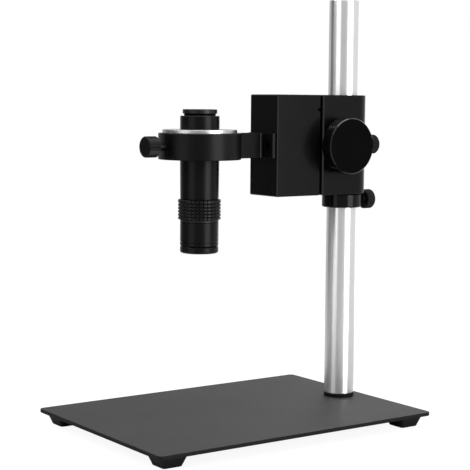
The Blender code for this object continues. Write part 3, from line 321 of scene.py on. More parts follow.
def coatedGlass(name, look):
    # a dark lens under a bluish coat
    material, tree, shader, coordinates = startMaterial(name)
    noise = addNoise(tree, addMapping(tree, coordinates, evenScale), look["driftScale"])
    colours = addColours(tree, noise.outputs["Fac"], look["dark"], look["light"])
    rough = addRange(tree, noise.outputs["Fac"], *look["roughness"])
    tree.links.new(colours.outputs["Color"], shader.inputs["Base Color"])
    tree.links.new(rough.outputs["Result"], shader.inputs["Roughness"])
    shader.inputs["Coat Weight"].default_value = look["coat"]
    shader.inputs["Coat Tint"].default_value = look["coatTint"]
    shader.inputs["Coat Roughness"].default_value = look["coatRoughness"]
    return material


lensGlass = coatedGlass("lensGlass", lensGlassLook)
print("materials ready")

# merging: distances in metres, and the angle below which neighbouring faces become one
mergeSize = {"own": 1e-7, "packed": 1e-6, "flatDegrees": 0.4}
# angles in degrees up to which a shape is shaded smooth
smoothUpTo = {"turned": 28, "cut": 30, "soft": 40}
# steps of a rounded corner
arcSteps = {"edge": 3, "cap": 4, "round": 5}


def place(bm, name, material, body, replaced, smoothAngle):
    # makes the piece from its mesh, dresses it and hangs it on its body
    bmesh.ops.remove_doubles(bm, verts=bm.verts, dist=mergeSize["own"])
    bmesh.ops.recalc_face_normals(bm, faces=bm.faces)
    mesh = bpy.data.meshes.new(name)
    bm.to_mesh(mesh)
    bm.free()
    mesh.shade_smooth()
    mesh.set_sharp_from_angle(angle=math.radians(smoothAngle))
    for finish in material if isinstance(material, list) else [material]:
        mesh.materials.append(finish)
    piece = bpy.data.objects.new(name, mesh)
    bpy.context.scene.collection.objects.link(piece)
    weighted = piece.modifiers.new("flatFaces", "WEIGHTED_NORMAL")  # big faces stay flat
    weighted.mode = "FACE_AREA"
    weighted.keep_sharp = True
    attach(piece, body)
    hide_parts(*replaced)


def spinProfile(profile, closed, steps=128):
    # profile points are (radius, height), spun round Z
    bm = bmesh.new()
    corners = [bm.verts.new((radius, 0, height)) for radius, height in profile]
    edges = [bm.edges.new(pair) for pair in zip(corners, corners[1:])]
    if closed:
        edges.append(bm.edges.new((corners[-1], corners[0])))
    bmesh.ops.spin(bm, geom=corners + edges, cent=(0, 0, 0), axis=(0, 0, 1),
                   angle=2 * math.pi, steps=steps, use_merge=True, use_duplicate=False)
    bmesh.ops.remove_doubles(bm, verts=bm.verts, dist=mergeSize["own"])
    return bm


def roundCorner(x, z, radius, fromDegrees, toDegrees, steps):
    # profile points along an arc round (x, z)
    points = []
    for i in range(steps + 1):
        turn = math.radians(fromDegrees + (toDegrees - fromDegrees) * i / steps)
        points.append((x + radius * math.cos(turn), z + radius * math.sin(turn)))
    return points


def moveMesh(bm, at, along=(0, 0, 1)):
    # turns the Z axis to `along`, then moves the origin to `at`
    turn = Vector((0, 0, 1)).rotation_difference(Vector(along)).to_matrix()
    bmesh.ops.rotate(bm, cent=(0, 0, 0), matrix=turn, verts=bm.verts)
    bmesh.ops.translate(bm, vec=Vector(at), verts=bm.verts)


def knurledWheel(size):
    # a disc raised in rows, then every other rim point is pushed in
    bm = bmesh.new()
    points = 2 * size["teeth"]
    start = bmesh.ops.create_circle(bm, cap_ends=True, radius=size["radius"] - size["chamfer"],
                                    segments=points)
    bmesh.ops.translate(bm, vec=(0, 0, size["bottom"]), verts=start["verts"])
    cap = bm.faces[:][0]
    rimHeight = size["top"] - size["bottom"] - 2 * size["chamfer"]
    rows = size["rows"]
    levels = [(size["bottom"] + size["chamfer"] + rimHeight * i / (rows - 1), size["radius"])
              for i in range(rows)]
    levels.append((size["top"], size["radius"] - size["chamfer"]))
    height = size["bottom"]
    radius = size["radius"] - size["chamfer"]
    for rowNumber, (nextHeight, nextRadius) in enumerate(levels):
        raised = bmesh.ops.extrude_face_region(bm, geom=[cap])["geom"]
        corners = [g for g in raised if isinstance(g, bmesh.types.BMVert)]
        if rowNumber:
            bmesh.ops.delete(bm, geom=[cap], context="FACES_ONLY")
        cap = [g for g in raised if isinstance(g, bmesh.types.BMFace)][0]
        bmesh.ops.translate(bm, vec=(0, 0, nextHeight - height), verts=corners)
        grow = nextRadius / radius
        bmesh.ops.scale(bm, vec=(grow, grow, 1), verts=corners)
        height, radius = nextHeight, nextRadius
    step = rimHeight / (rows - 1)
    for corner in bm.verts:
        reach = math.hypot(corner.co.x, corner.co.y)
        if reach < size["radius"] - size["chamfer"] / 2:
            continue
        column = round(math.atan2(corner.co.y, corner.co.x) * size["teeth"] / math.pi)
        row = round((corner.co.z - size["bottom"] - size["chamfer"]) / step)
        if (column + (row if size["crossed"] else 0)) % 2:
            shrink = (reach - size["depth"]) / reach
            corner.co.x *= shrink
            corner.co.y *= shrink
    return bm


def addSpin(bm, profile, steps):
    # spins an open profile from axis to axis into a mesh that is already there
    part = spinProfile(profile, False, steps)
    spare = bpy.data.meshes.new("spare")
    part.to_mesh(spare)
    part.free()
    bm.from_mesh(spare)
    bpy.data.meshes.remove(spare)


def smoothCopy(node, name, material, body, dress):
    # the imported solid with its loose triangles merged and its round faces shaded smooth
    bm = bmesh.new()
    bm.from_mesh(nodes[node].data)
    bmesh.ops.remove_doubles(bm, verts=bm.verts, dist=mergeSize["packed"])
    bmesh.ops.dissolve_limit(bm, angle_limit=math.radians(mergeSize["flatDegrees"]),
                             verts=bm.verts, edges=bm.edges, delimit={"NORMAL"})
    bm.normal_update()
    for face in bm.faces:
        face.material_index = dress(face)
    place(bm, name, material, body, [node], smoothUpTo["cut"])


def stepFace(bm, face, rise, share):
    # carries a face on by one row, moved along Z and scaled about the Z axis
    raised = bmesh.ops.extrude_face_region(bm, geom=[face])["geom"]
    corners = [g for g in raised if isinstance(g, bmesh.types.BMVert)]
    bmesh.ops.delete(bm, geom=[face], context="FACES_ONLY")
    bmesh.ops.translate(bm, vec=(0, 0, rise), verts=corners)
    bmesh.ops.scale(bm, vec=(share, share, 1), verts=corners)
    return [g for g in raised if isinstance(g, bmesh.types.BMFace)][0]


plateSize = {"flat": 0.9}


def plateFinish(face):
    # the top and the underside are lacquered, the cut edges duller
    return 0 if abs(face.normal.z) > plateSize["flat"] else 1


smoothCopy("base_plate", "basePlate", [plateLacquer, plateEdge], "stand",
           plateFinish)

# each edge row has its rise, as a share of edgeRise, and its width, as a share of the last
footSize = {"cornerRadius": 0.0032, "cornerSegments": 6, "edgeRise": 0.0010,
            "soleShare": 0.735, "recessShare": 0.62, "recessDepth": 0.0022,
            "recessTaper": 0.90, "edgeRows": ((-0.45, 0.985), (-0.35, 0.975), (-0.20, 0.955))}


def makeFoot(node, name):
    # tapers to its sole, which has a rounded edge and a shallow recess
    low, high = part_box(node)
    bm = bmesh.new()
    bmesh.ops.create_cube(bm, size=1)
    size = high - low
    bmesh.ops.scale(bm, vec=(size.x, size.y, size.z - footSize["edgeRise"]), verts=bm.verts)
    upright = [e for e in bm.edges if e.verts[0].co.z * e.verts[1].co.z < 0]
    bmesh.ops.bevel(bm, geom=upright, offset=footSize["cornerRadius"], offset_type="OFFSET",
                    segments=footSize["cornerSegments"], profile=0.5, affect="EDGES",
                    material=-1)
    sole = [v for v in bm.verts if v.co.z < 0]
    share = footSize["soleShare"]
    bmesh.ops.scale(bm, vec=(share, share, 1), verts=sole)
    face = min(bm.faces, key=lambda f: f.calc_center_median().z)
    for rise, share in footSize["edgeRows"]:
        face = stepFace(bm, face, rise * footSize["edgeRise"], share)
    face = stepFace(bm, face, 0, footSize["recessShare"])
    stepFace(bm, face, footSize["recessDepth"], footSize["recessTaper"])
    lift = Vector((0, 0, footSize["edgeRise"] / 2))
    bmesh.ops.translate(bm, vec=(low + high) / 2 + lift, verts=bm.verts)
    place(bm, name, footRubber, "stand", [node], smoothUpTo["soft"])


for node, name in (("foot_front_left", "footFrontLeft"), ("foot_front_right", "footFrontRight"),
                   ("foot_rear_left", "footRearLeft"), ("foot_rear_right", "footRearRight")):
    makeFoot(node, name)
print("base plate and feet")

postSize = {"radius": 0.0125, "chamfer": 0.0008, "footChamfer": 0.0002, "boltHole": 0.0043,
            "boltHoleDepth": 0.0252, "flat": 0.9, "spacerRadius": 0.0127,
            "spacerEdge": 0.0004}
bottom, top = postLow.z, postHigh.z
radius, chamfer = postSize["radius"], postSize["chamfer"]
footChamfer, bore = postSize["footChamfer"], postSize["boltHole"]
bm = spinProfile([(0, bottom + postSize["boltHoleDepth"]),
                  (bore, bottom + postSize["boltHoleDepth"]), (bore, bottom),
                  (radius - footChamfer, bottom), (radius, bottom + footChamfer),
                  *roundCorner(radius - chamfer, top - chamfer, chamfer, 0, 90,
                               arcSteps["edge"]), (0, top)], False)
bm.normal_update()
for face in bm.faces:
    face.material_index = 1 if abs(face.normal.z) > postSize["flat"] else 0
moveMesh(bm, (0, postCentre.y, 0))
place(bm, "postRod", [postMetal, postEnd], "stand", ["post"],
      smoothUpTo["turned"])

low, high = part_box("post_spacer")
radius, edge = postSize["spacerRadius"], postSize["spacerEdge"]
bm = spinProfile([(bore, low.z), (radius - edge, low.z), (radius, low.z + edge),
                  (radius, high.z - edge), (radius - edge, high.z), (bore, high.z)], True)
moveMesh(bm, (0, postCentre.y, 0))
place(bm, "postSpacer", spacerRubber, "stand", ["post_spacer"],
      smoothUpTo["turned"])
print("post")

thumbSize = {"radius": 0.0082, "thickness": 0.0082, "chamfer": 0.0007, "teeth": 44, "rows": 2,
             "crossed": False, "depth": 0.0004, "neckRadius": 0.0046, "neckLength": 0.0022,
             "shankRadius": 0.0030, "shankSteps": 48, "tip": 0.0006, "overlap": 0.0005,
             "ringThickness": 0.0104}


def makeThumbscrew(node, name, body, towards, thickness=thumbSize["thickness"]):
    low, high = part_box(node)
    middle = (low + high) / 2
    length = (high - low).y
    start = middle - Vector(towards) * length / 2
    head = length - thickness
    bm = knurledWheel({**thumbSize, "bottom": head, "top": length})
    shank, tip, neck = (thumbSize[k] for k in ("shankRadius", "tip", "neckRadius"))
    neckStart, neckEnd = head - thumbSize["neckLength"], head + thumbSize["overlap"]
    addSpin(bm, [(0, 0), (shank - tip, 0), (shank, tip), (shank, neckStart), (neck, neckStart),
                 (neck, neckEnd), (0, neckEnd)], thumbSize["shankSteps"])
    for face in bm.faces:  # the turned end face is smoother than the knurl
        if min(corner.co.z for corner in face.verts) > length - mergeSize["packed"]:
            face.material_index = 1
    moveMesh(bm, start, towards)
    place(bm, name, [thumbOxide, blockAnodise], body, [node],
          smoothUpTo["cut"])


makeThumbscrew("collar_thumbscrew", "collarThumbscrew", "collar_screw", (0, 1, 0))
makeThumbscrew("clamp_thumbscrew", "clampThumbscrew", "clamp_screw", (0, 1, 0))
makeThumbscrew("ring_thumbscrew", "ringThumbscrew", "ring_screw", (0, -1, 0),
               thumbSize["ringThickness"])
print("thumbscrews")

collarSize = {"radius": 0.01665, "bore": 0.0128, "topEdge": 0.0009, "footRound": 0.0012}
low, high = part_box("stop_collar")
radius, bore, edge, foot = (collarSize[k] for k in ("radius", "bore", "topEdge", "footRound"))
bm = spinProfile([(bore, low.z),
                  *roundCorner(radius - foot, low.z + foot, foot, -90, 0, arcSteps["round"]),
                  (radius, high.z - edge), (radius - edge, high.z), (bore, high.z)], True)
moveMesh(bm, (0, postCentre.y, 0))
place(bm, "stopCollar", collarAnodise, "collar", ["stop_collar"],
      smoothUpTo["turned"])
print("stop collar")

cornerSize = {"upright": 0.1, "turned": 0.25, "shortest": 0.01, "widest": 0.0016}


def paintedHighlightCorner(face):
    # picks the painted highlight: an upright corner cut that is narrow, faces neither straight
    # on nor sideways, and turns to the front
    normal = face.normal
    upright = abs(normal.z) < cornerSize["upright"]
    slanted = min(abs(normal.x), abs(normal.y)) > cornerSize["turned"]
    height = max(v.co.z for v in face.verts) - min(v.co.z for v in face.verts)
    tall = height > cornerSize["shortest"]
    narrow = face.calc_area() < height * cornerSize["widest"]
    return 1 if upright and slanted and tall and narrow and normal.y < 0 else 0


# the block corners that face the front carry the painted highlight
smoothCopy("clamp_block", "clampBlock", [blockAnodise, paintedHighlightEdge], "head",
           paintedHighlightCorner)
smoothCopy("carriage_block", "carriageBlock", [blockAnodise, paintedHighlightEdge], "carriage",
           paintedHighlightCorner)

bushSize = {"bore": 0.0038, "barrel": 0.0059, "flange": 0.0075, "flangeThickness": 0.0015,
            "edge": 0.0003, "steps": 64}
driveCentre = middleOf("pinion_shaft")
for node, name, side in (("shaft_bush_left", "shaftBushLeft", -1),
                         ("shaft_bush_right", "shaftBushRight", 1)):
    low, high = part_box(node)
    near, far = sorted((abs(low.x), abs(high.x)))
    step = far - bushSize["flangeThickness"]
    bore, barrel, flange, edge = (bushSize[k] for k in ("bore", "barrel", "flange", "edge"))
    bm = spinProfile([(bore, near), (barrel, near), (barrel, step), (flange, step),
                      (flange, far - edge), (flange - edge, far), (bore, far)],
                     True, bushSize["steps"])
    moveMesh(bm, (0, driveCentre.y, driveCentre.z), (side, 0, 0))
    place(bm, name, rackBrass, "head", [node], smoothUpTo["cut"])

knobSize = {"radius": 0.0230, "thickness": 0.0115, "chamfer": 0.0009, "teeth": 118, "rows": 17,
            "crossed": True, "depth": 0.00035, "hubRadius": 0.0080, "hubEdge": 0.0003,
            "hubSteps": 64, "overlap": 0.0005, "flat": 0.95, "slanted": (0.60, 0.80)}
for node, name, side in (("focus_knob_left", "focusKnobLeft", -1),
                         ("focus_knob_right", "focusKnobRight", 1)):
    low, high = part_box(node)
    near, far = sorted((abs(low.x), abs(high.x)))
    back = far - knobSize["thickness"]
    bm = knurledWheel({**knobSize, "bottom": back, "top": far})
    hub, edge, hubEnd = knobSize["hubRadius"], knobSize["hubEdge"], back + knobSize["overlap"]
    addSpin(bm, [(0, near), (hub - edge, near), (hub, near + edge), (hub, hubEnd),
                 (0, hubEnd)], knobSize["hubSteps"])
    bm.normal_update()
    least, most = knobSize["slanted"]
    for face in bm.faces:  # the flat faces are matt, the knurl satin, the chamfers bright
        tilt = abs(face.normal.z)
        face.material_index = 0 if tilt > knobSize["flat"] else 2 if least < tilt < most else 1
    moveMesh(bm, (0, driveCentre.y, driveCentre.z), (side, 0, 0))
    place(bm, name, [knobFace, knobRim, knobEdge], "focus_drive", [node],
          smoothUpTo["cut"])
print("focusing block")

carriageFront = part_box("carriage_block")[0].y
armSize = {"flange": 0.0060, "webHalf": 0.0060, "flat": 0.95, "slanted": (0.3, 0.95)}


def armFinish(face):
    # the web's flanks get a lighter colour, painted light that keeps them even where the flange
    # shades their reflection; its fillets facing the front get the painted highlight; the edges
    # above and below are matt
    middle = face.calc_center_median()
    onWeb = abs(middle.x) < armSize["webHalf"]
    least, most = armSize["slanted"]
    if middle.y < carriageFront - armSize["flange"]:
        return 3 if abs(face.normal.x) > armSize["flat"] and onWeb else 0
    if least < abs(face.normal.z) < most:
        return 2
    return paintedHighlightCorner(face) if onWeb else 0


smoothCopy("ring_arm", "ringArm", [armAnodise, paintedHighlightEdge, knobFace, webPaintedLight], "carriage",
           armFinish)

adapterSize = {"flange": 0.0294, "sleeve": 0.0250, "bore": 0.0158, "flangeThickness": 0.0025,
               "edge": 0.0003, "steps": 160}
low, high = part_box("adapter_ring")
flange, edge = adapterSize["flange"], adapterSize["edge"]
bore, sleeve = adapterSize["bore"], adapterSize["sleeve"]
step = high.z - adapterSize["flangeThickness"]
bm = spinProfile([(bore, low.z), (sleeve, low.z), (sleeve, step), (flange, step),
                  *roundCorner(flange - edge, high.z - edge, edge, 0, 90, arcSteps["edge"]),
                  (bore + edge, high.z), (bore, high.z - edge)], True, adapterSize["steps"])
moveMesh(bm, (0, lensCentre.y, 0))
place(bm, "adapterRing", ringSilver, "lens", ["adapter_ring"],
      smoothUpTo["turned"])
print("ring arm and adapter ring")

# the thread is cut as plain rings, the first crest threadStart below the top
tubeSize = {"radius": 0.0155, "lowerRadius": 0.0152, "neck": 0.0142, "mount": 0.0127,
            "mountLength": 0.0039, "zoomGap": 0.0003, "bore": 0.0105, "edge": 0.0004,
            "rearSeat": 0.0093, "rearDepth": 0.0080, "stop": 0.0078, "stopDepth": 0.0120,
            "frontSeat": 0.0118, "frontDepth": 0.0035, "thread": 0.0003,
            "threadPitch": 0.0006, "threadStart": 0.0002}
capLow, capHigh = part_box("dust_cap")
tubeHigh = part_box("lens_tube")[1]
zoomLow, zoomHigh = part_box("zoom_ring")
frontLow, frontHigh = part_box("front_ring")
lowerLow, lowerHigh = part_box("lower_barrel")
shoulder = tubeHigh.z - tubeSize["mountLength"]
tubeBottom = zoomHigh.z + tubeSize["zoomGap"]
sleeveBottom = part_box("adapter_ring")[0].z
radius, lowerRadius, edge = (tubeSize[k] for k in ("radius", "lowerRadius", "edge"))
mount, pitch, start = (tubeSize[k] for k in ("mount", "threadPitch", "threadStart"))
root = mount - tubeSize["thread"]
thread = []
height = tubeHigh.z
while height - pitch > shoulder + start:
    thread += [(mount, height - start), (root, height - start - pitch / 2)]
    height -= pitch
neck, bore, stop = (tubeSize[k] for k in ("neck", "bore", "stop"))
frontSeat, frontEnd = tubeSize["frontSeat"], lowerLow.z + tubeSize["frontDepth"]
rearSeat, rearEnd = tubeSize["rearSeat"], tubeHigh.z - tubeSize["rearDepth"]
stopEnd = tubeHigh.z - tubeSize["stopDepth"]
bm = spinProfile([(rearSeat, tubeHigh.z), (root, tubeHigh.z), *thread, (root, shoulder),
                  (radius - edge, shoulder), (radius, shoulder - edge), (radius, sleeveBottom),
                  (lowerRadius, tubeBottom + edge), (lowerRadius - edge, tubeBottom),
                  (neck, tubeBottom), (neck, lowerLow.z), (frontSeat, lowerLow.z),
                  (frontSeat, frontEnd), (bore, frontEnd), (bore, stopEnd), (stop, stopEnd),
                  (stop, rearEnd), (rearSeat, rearEnd)], True)
moveMesh(bm, (0, lensCentre.y, 0))
place(bm, "lensTube", barrelAnodise, "lens", ["lens_tube"],
      smoothUpTo["turned"])

capSize = {"radius": 0.0136, "inner": 0.0130, "edge": 0.0005, "topThickness": 0.0009,
           "dish": 0.0105, "dishFloor": 0.0102, "step": 0.0002}
radius, edge, step = (capSize[k] for k in ("radius", "edge", "step"))
inside = capHigh.z - capSize["topThickness"]
bm = spinProfile([(0, inside), (capSize["inner"], inside), (capSize["inner"], capLow.z),
                  (radius - step, capLow.z), (radius, capLow.z + step),
                  *roundCorner(radius - edge, capHigh.z - edge, edge, 0, 90,
                               arcSteps["cap"]),
                  (capSize["dish"], capHigh.z), (capSize["dishFloor"], capHigh.z - step),
                  (0, capHigh.z - step)], False)
moveMesh(bm, (0, lensCentre.y, 0))
place(bm, "dustCap", capPlastic, "lens", ["dust_cap"],
      smoothUpTo["soft"])

zoomSize = {"ribs": 6, "depth": 0.0009, "topChamfer": 0.0003, "endLength": 0.0013,
            "crestShare": 0.44, "inner": 0.0145, "endRadius": 0.0152, "grooves": 32,
            "columnsEach": 7, "uprightDepth": 0.0009, "aboveFloor": 0.0003,
            "belowCrest": 0.0002}
half = (zoomHigh.z - zoomLow.z) / 2
crest = (zoomHigh.x - zoomLow.x) / 2
low = crest - zoomSize["depth"]
pitch = (2 * half - zoomSize["endLength"] - zoomSize["topChamfer"]) / zoomSize["ribs"]
profile = [(zoomSize["inner"], half), (crest - zoomSize["topChamfer"], half)]
for rib in range(zoomSize["ribs"]):
    top = half - zoomSize["topChamfer"] - rib * pitch
    flank = pitch * (1 - zoomSize["crestShare"]) / 2
    crestTop = top if rib == 0 else top - flank
    last = rib == zoomSize["ribs"] - 1
    profile += [(crest, crestTop), (crest, top - pitch + flank),
                (zoomSize["endRadius"] if last else low, top - pitch)]
profile += [(zoomSize["endRadius"], -half), (zoomSize["inner"], -half)]
columns = zoomSize["grooves"] * zoomSize["columnsEach"]
bm = spinProfile(profile, True, columns)
for corner in bm.verts:  # upright grooves cut the ribs into small pads
    reach = math.hypot(corner.co.x, corner.co.y)
    column = round(math.atan2(corner.co.y, corner.co.x) * columns / (2 * math.pi))
    if reach > low + zoomSize["aboveFloor"] and column % zoomSize["columnsEach"] == 0:
        corner.co.x *= (reach - zoomSize["uprightDepth"]) / reach
        corner.co.y *= (reach - zoomSize["uprightDepth"]) / reach
for face in bm.faces:  # painted light: the floors and walls of the grooves are lighter in colour than the pads, lifting their shade, and rougher
    middle = face.calc_center_median()
    if math.hypot(middle.x, middle.y) < crest - zoomSize["belowCrest"]:
        face.material_index = 1
moveMesh(bm, (0, lensCentre.y, (zoomLow.z + zoomHigh.z) / 2))
place(bm, "zoomRing", [zoomAnodise, zoomGroovePaintedLight], "zoom", ["zoom_ring"],
      smoothUpTo["turned"])

barrelSize = {"radius": 0.0152, "inner": 0.0145, "edge": 0.0003, "grooveRise": 0.0026,
              "grooveWidth": 0.0008, "grooveDepth": 0.0006, "grooveFlank": 0.0001}
radius, edge, inner = (barrelSize[k] for k in ("radius", "edge", "inner"))
groove, flank = radius - barrelSize["grooveDepth"], barrelSize["grooveFlank"]
line = lowerLow.z + barrelSize["grooveRise"]
lineTop = line + barrelSize["grooveWidth"]
bm = spinProfile([(inner, lowerLow.z), (groove, lowerLow.z), (radius, lowerLow.z + edge),
                  (radius, line), (groove, line + flank), (groove, lineTop - flank),
                  (radius, lineTop), (radius, lowerHigh.z - edge),
                  (radius - edge, lowerHigh.z), (inner, lowerHigh.z)], True)
moveMesh(bm, (0, lensCentre.y, 0))
place(bm, "lowerBarrel", barrelAnodise, "lens", ["lower_barrel"],
      smoothUpTo["turned"])

frontSize = {"radius": 0.0152, "aperture": 0.0100, "mouth": 0.01275, "baffleSteps": 5,
             "round": 0.0016, "topCut": 0.0008, "slanted": (0.3, 0.9)}
radius, lip = frontSize["radius"], frontSize["round"]
aperture, steps = frontSize["aperture"], frontSize["baffleSteps"]
baffle = [(aperture, frontHigh.z)]  # the mouth widens towards its end in small steps
for i in range(steps):
    reach = aperture + (frontSize["mouth"] - aperture) * (i + 1) / steps
    level = frontHigh.z - (frontHigh.z - frontLow.z) * (i + 1) / steps
    baffle += [(baffle[-1][0], level), (reach, level)]
cut = frontSize["topCut"]
bm = spinProfile([*baffle,
                  *roundCorner(radius - lip, frontLow.z + lip, lip, -90, 0, arcSteps["round"]),
                  (radius, frontHigh.z - cut), (radius - cut, frontHigh.z)], True)
bm.normal_update()
least, most = frontSize["slanted"]
# painted highlight: the chamfer facing up gets the lighter, shinier edge finish
for face in bm.faces:
    face.material_index = 1 if least < face.normal.z < most else 0
moveMesh(bm, (0, lensCentre.y, 0))
place(bm, "frontRing", [barrelAnodise, paintedHighlightEdge], "lens", ["front_ring"],
      smoothUpTo["turned"])

glassSize = {"crown": 0.0006, "arcSteps": 8, "steps": 96}
for node, name, body in (("front_lens", "frontLens", "lens"), ("rear_lens", "rearLens", "lens"),
                         ("zoom_lens", "zoomLens", "zoom_carrier")):
    low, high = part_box(node)
    radius = (high.x - low.x) / 2
    crown = glassSize["crown"]
    arcPoints = roundCorner(0, 0, 1, 90, 0, glassSize["arcSteps"])
    upper = [(radius * x, high.z - crown + crown * z) for x, z in arcPoints]
    lower = [(radius * x, low.z + crown - crown * z) for x, z in reversed(arcPoints)]
    bm = spinProfile(upper + lower, False, glassSize["steps"])
    moveMesh(bm, (0, lensCentre.y, 0))
    place(bm, name, lensGlass, body, [node], smoothUpTo["soft"])
print("lens")

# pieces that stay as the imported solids
keptFinish = {
    "post_bolt": screwOxide, "post_bolt_washer": screwOxide, "pinion_shaft": slideSteel,
    "knob_grub_left": screwOxide, "knob_grub_right": screwOxide, "slide_bar": slideSteel,
    "focus_rack": rackBrass, "slide_screw_upper": screwOxide, "slide_screw_lower": screwOxide,
    "slide_grub": knobFace, "arm_screw_left": knobFace, "arm_screw_right": knobFace,
    "adapter_grub_rear": screwOxide, "adapter_grub_left": screwOxide,
    "adapter_grub_right": screwOxide, "rear_retainer": barrelAnodise, "zoom_cell": rackBrass,
    "cam_pin": rackBrass,
}
for node, finishMaterial in keptFinish.items():
    nodes[node].data.materials.clear()
    nodes[node].data.materials.append(finishMaterial)
print("kept solids dressed")

# the camera stands where the photograph's edges put it
cameraSize = {"place": (0.905168, -0.646257, 0.263269), "azimuth": 54.8184, "elevation": 5.5585,
              "roll": 0.4525, "lens": 105.853, "sensor": 36, "clip": (0.05, 60)}
azimuth, elevation, roll = (math.radians(cameraSize[k])
                            for k in ("azimuth", "elevation", "roll"))
forward = Vector((-math.sin(azimuth) * math.cos(elevation),
                  math.cos(azimuth) * math.cos(elevation), -math.sin(elevation)))
level = Vector((math.cos(azimuth), math.sin(azimuth), 0))
upward = level.cross(forward)
right = level * math.cos(roll) + upward * math.sin(roll)
up = upward * math.cos(roll) - level * math.sin(roll)
camera = bpy.data.objects.new("camera", bpy.data.cameras.new("camera"))
bpy.context.scene.collection.objects.link(camera)
camera.data.lens = cameraSize["lens"]
camera.data.sensor_width = cameraSize["sensor"]
camera.data.clip_start, camera.data.clip_end = cameraSize["clip"]
camera.matrix_world = Matrix(((right.x, up.x, -forward.x, cameraSize["place"][0]),
                              (right.y, up.y, -forward.y, cameraSize["place"][1]),
                              (right.z, up.z, -forward.z, cameraSize["place"][2]),
                              (0, 0, 0, 1)))
bpy.context.scene.camera = camera

# floor, white to the camera and still holding the object's shadow
floorSize = {"radius": 0.55, "segments": 96, "whiteShare": 0.92, "albedo": 0.16,
             "bounceGrey": 0.55}
bm = bmesh.new()
bmesh.ops.create_circle(bm, cap_ends=True, radius=floorSize["radius"],
                        segments=floorSize["segments"])
floorMesh = bpy.data.meshes.new("floor")
bm.to_mesh(floorMesh)
bm.free()
floor = bpy.data.objects.new("floor", floorMesh)
bpy.context.scene.collection.objects.link(floor)
floorPaint, tree, shader = startMaterial("floorPaint")[:3]
tree.nodes.remove(shader)
output = tree.nodes["Material Output"]
lit = tree.nodes.new("ShaderNodeBsdfDiffuse")
lit.inputs["Color"].default_value = (floorSize["albedo"],) * 3 + (1,)
glow = tree.nodes.new("ShaderNodeEmission")
glow.inputs["Strength"].default_value = floorSize["whiteShare"]
both = tree.nodes.new("ShaderNodeAddShader")
plain = tree.nodes.new("ShaderNodeBsdfDiffuse")
plain.inputs["Color"].default_value = (floorSize["bounceGrey"],) * 3 + (1,)
path = tree.nodes.new("ShaderNodeLightPath")
pick = tree.nodes.new("ShaderNodeMixShader")
tree.links.new(lit.outputs[0], both.inputs[0])
tree.links.new(glow.outputs[0], both.inputs[1])
tree.links.new(path.outputs["Is Camera Ray"], pick.inputs["Fac"])
tree.links.new(plain.outputs[0], pick.inputs[1])
tree.links.new(both.outputs[0], pick.inputs[2])
tree.links.new(pick.outputs[0], output.inputs["Surface"])
floorMesh.materials.append(floorPaint)

# studio cards, seen only in reflections; angles run from the camera to its right
cardSize = {"reach": 2.6, "low": -1.4, "high": 2.2, "steps": 12}
cards = [("cardBehindCamera", -31, 33, 0.50), ("softboxLeft", -64, -31, 1.4),
         ("cardLeft", -122, -64, 0.13), ("cardFarLeft", -180, -122, 0.50),
         ("softboxRight", 33, 65, 4.6), ("cardRight", 65, 150, 0.80),
         ("cardFarRight", 150, 180, 1.50)]


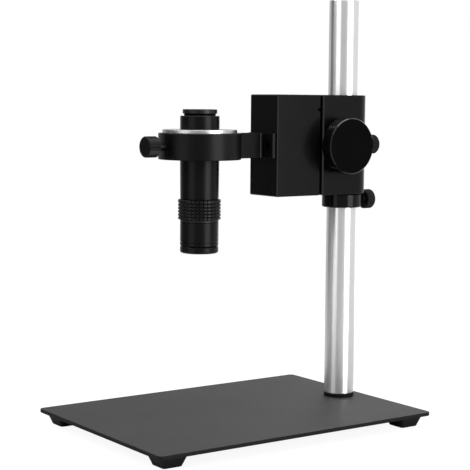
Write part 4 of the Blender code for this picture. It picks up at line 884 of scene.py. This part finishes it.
def makeCard(name, fromDegrees, toDegrees, brightness):
    bm = bmesh.new()
    steps = cardSize["steps"]
    columns = []
    for i in range(steps + 1):
        turn = math.radians(fromDegrees + (toDegrees - fromDegrees) * i / steps)
        out = Vector((-forward.x, -forward.y, 0)).normalized() * math.cos(turn) \
            + level * math.sin(turn)
        foot = Vector((0, postCentre.y, 0)) + out * cardSize["reach"]
        columns.append(bm.verts.new((foot.x, foot.y, cardSize["low"])))
    edges = [bm.edges.new(pair) for pair in zip(columns, columns[1:])]
    raised = bmesh.ops.extrude_edge_only(bm, edges=edges)["geom"]
    bmesh.ops.translate(bm, vec=(0, 0, cardSize["high"] - cardSize["low"]),
                        verts=[g for g in raised if isinstance(g, bmesh.types.BMVert)])
    mesh = bpy.data.meshes.new(name)
    bm.to_mesh(mesh)
    bm.free()
    card = bpy.data.objects.new(name, mesh)
    bpy.context.scene.collection.objects.link(card)
    cardMaterial = bpy.data.materials.new(name)
    cardMaterial.use_nodes = True
    cardTree = cardMaterial.node_tree
    cardTree.nodes.remove(cardTree.nodes["Principled BSDF"])
    emission = cardTree.nodes.new("ShaderNodeEmission")
    emission.inputs["Color"].default_value = (brightness, brightness, brightness, 1)
    cardTree.links.new(emission.outputs[0], cardTree.nodes["Material Output"].inputs["Surface"])
    mesh.materials.append(cardMaterial)
    card.visible_camera = False
    card.visible_diffuse = False
    card.visible_shadow = False
    card.visible_transmission = False


for card in cards:
    makeCard(*card)

lampAim = Vector((0, 0, 0.17))
lamps = [("keyLamp", (-0.9, -1.5, 1.7), 1.2, 20.0), ("fillLamp", (1.7, 0.3, 1.1), 1.1, 12.0),
         ("topLamp", (0.1, 0.1, 2.0), 1.4, 16.0)]
for name, at, width, power in lamps:
    lamp = bpy.data.lights.new(name, "AREA")
    lamp.energy = power
    lamp.size = width
    holder = bpy.data.objects.new(name, lamp)
    holder.location = at
    aim = lampAim - Vector(at)
    holder.rotation_mode = "QUATERNION"
    holder.rotation_quaternion = aim.to_track_quat("-Z", "Y")
    bpy.context.scene.collection.objects.link(holder)

# world: white to the camera and in reflections, plain grey as light
worldSize = {"light": 0.45, "white": 1.0}
world = bpy.data.worlds.new("studio")
bpy.context.scene.world = world
world.use_nodes = True
tree = world.node_tree
background = tree.nodes["Background"]
background.inputs["Color"].default_value = (1, 1, 1, 1)
background.inputs["Strength"].default_value = worldSize["light"]
white = tree.nodes.new("ShaderNodeBackground")
white.inputs["Color"].default_value = (1, 1, 1, 1)
white.inputs["Strength"].default_value = worldSize["white"]
path = tree.nodes.new("ShaderNodeLightPath")
either = tree.nodes.new("ShaderNodeMath")
either.operation = "MAXIMUM"
every = tree.nodes.new("ShaderNodeMath")
every.operation = "MAXIMUM"
pick = tree.nodes.new("ShaderNodeMixShader")
tree.links.new(path.outputs["Is Camera Ray"], either.inputs[0])
tree.links.new(path.outputs["Is Glossy Ray"], either.inputs[1])
tree.links.new(either.outputs[0], every.inputs[0])
tree.links.new(path.outputs["Is Transmission Ray"], every.inputs[1])
tree.links.new(every.outputs[0], pick.inputs["Fac"])
tree.links.new(background.outputs[0], pick.inputs[1])
tree.links.new(white.outputs[0], pick.inputs[2])
tree.links.new(pick.outputs[0], tree.nodes["World Output"].inputs["Surface"])
bpy.context.scene.view_settings.view_transform = "Standard"
print("camera, floor, cards and lamps")
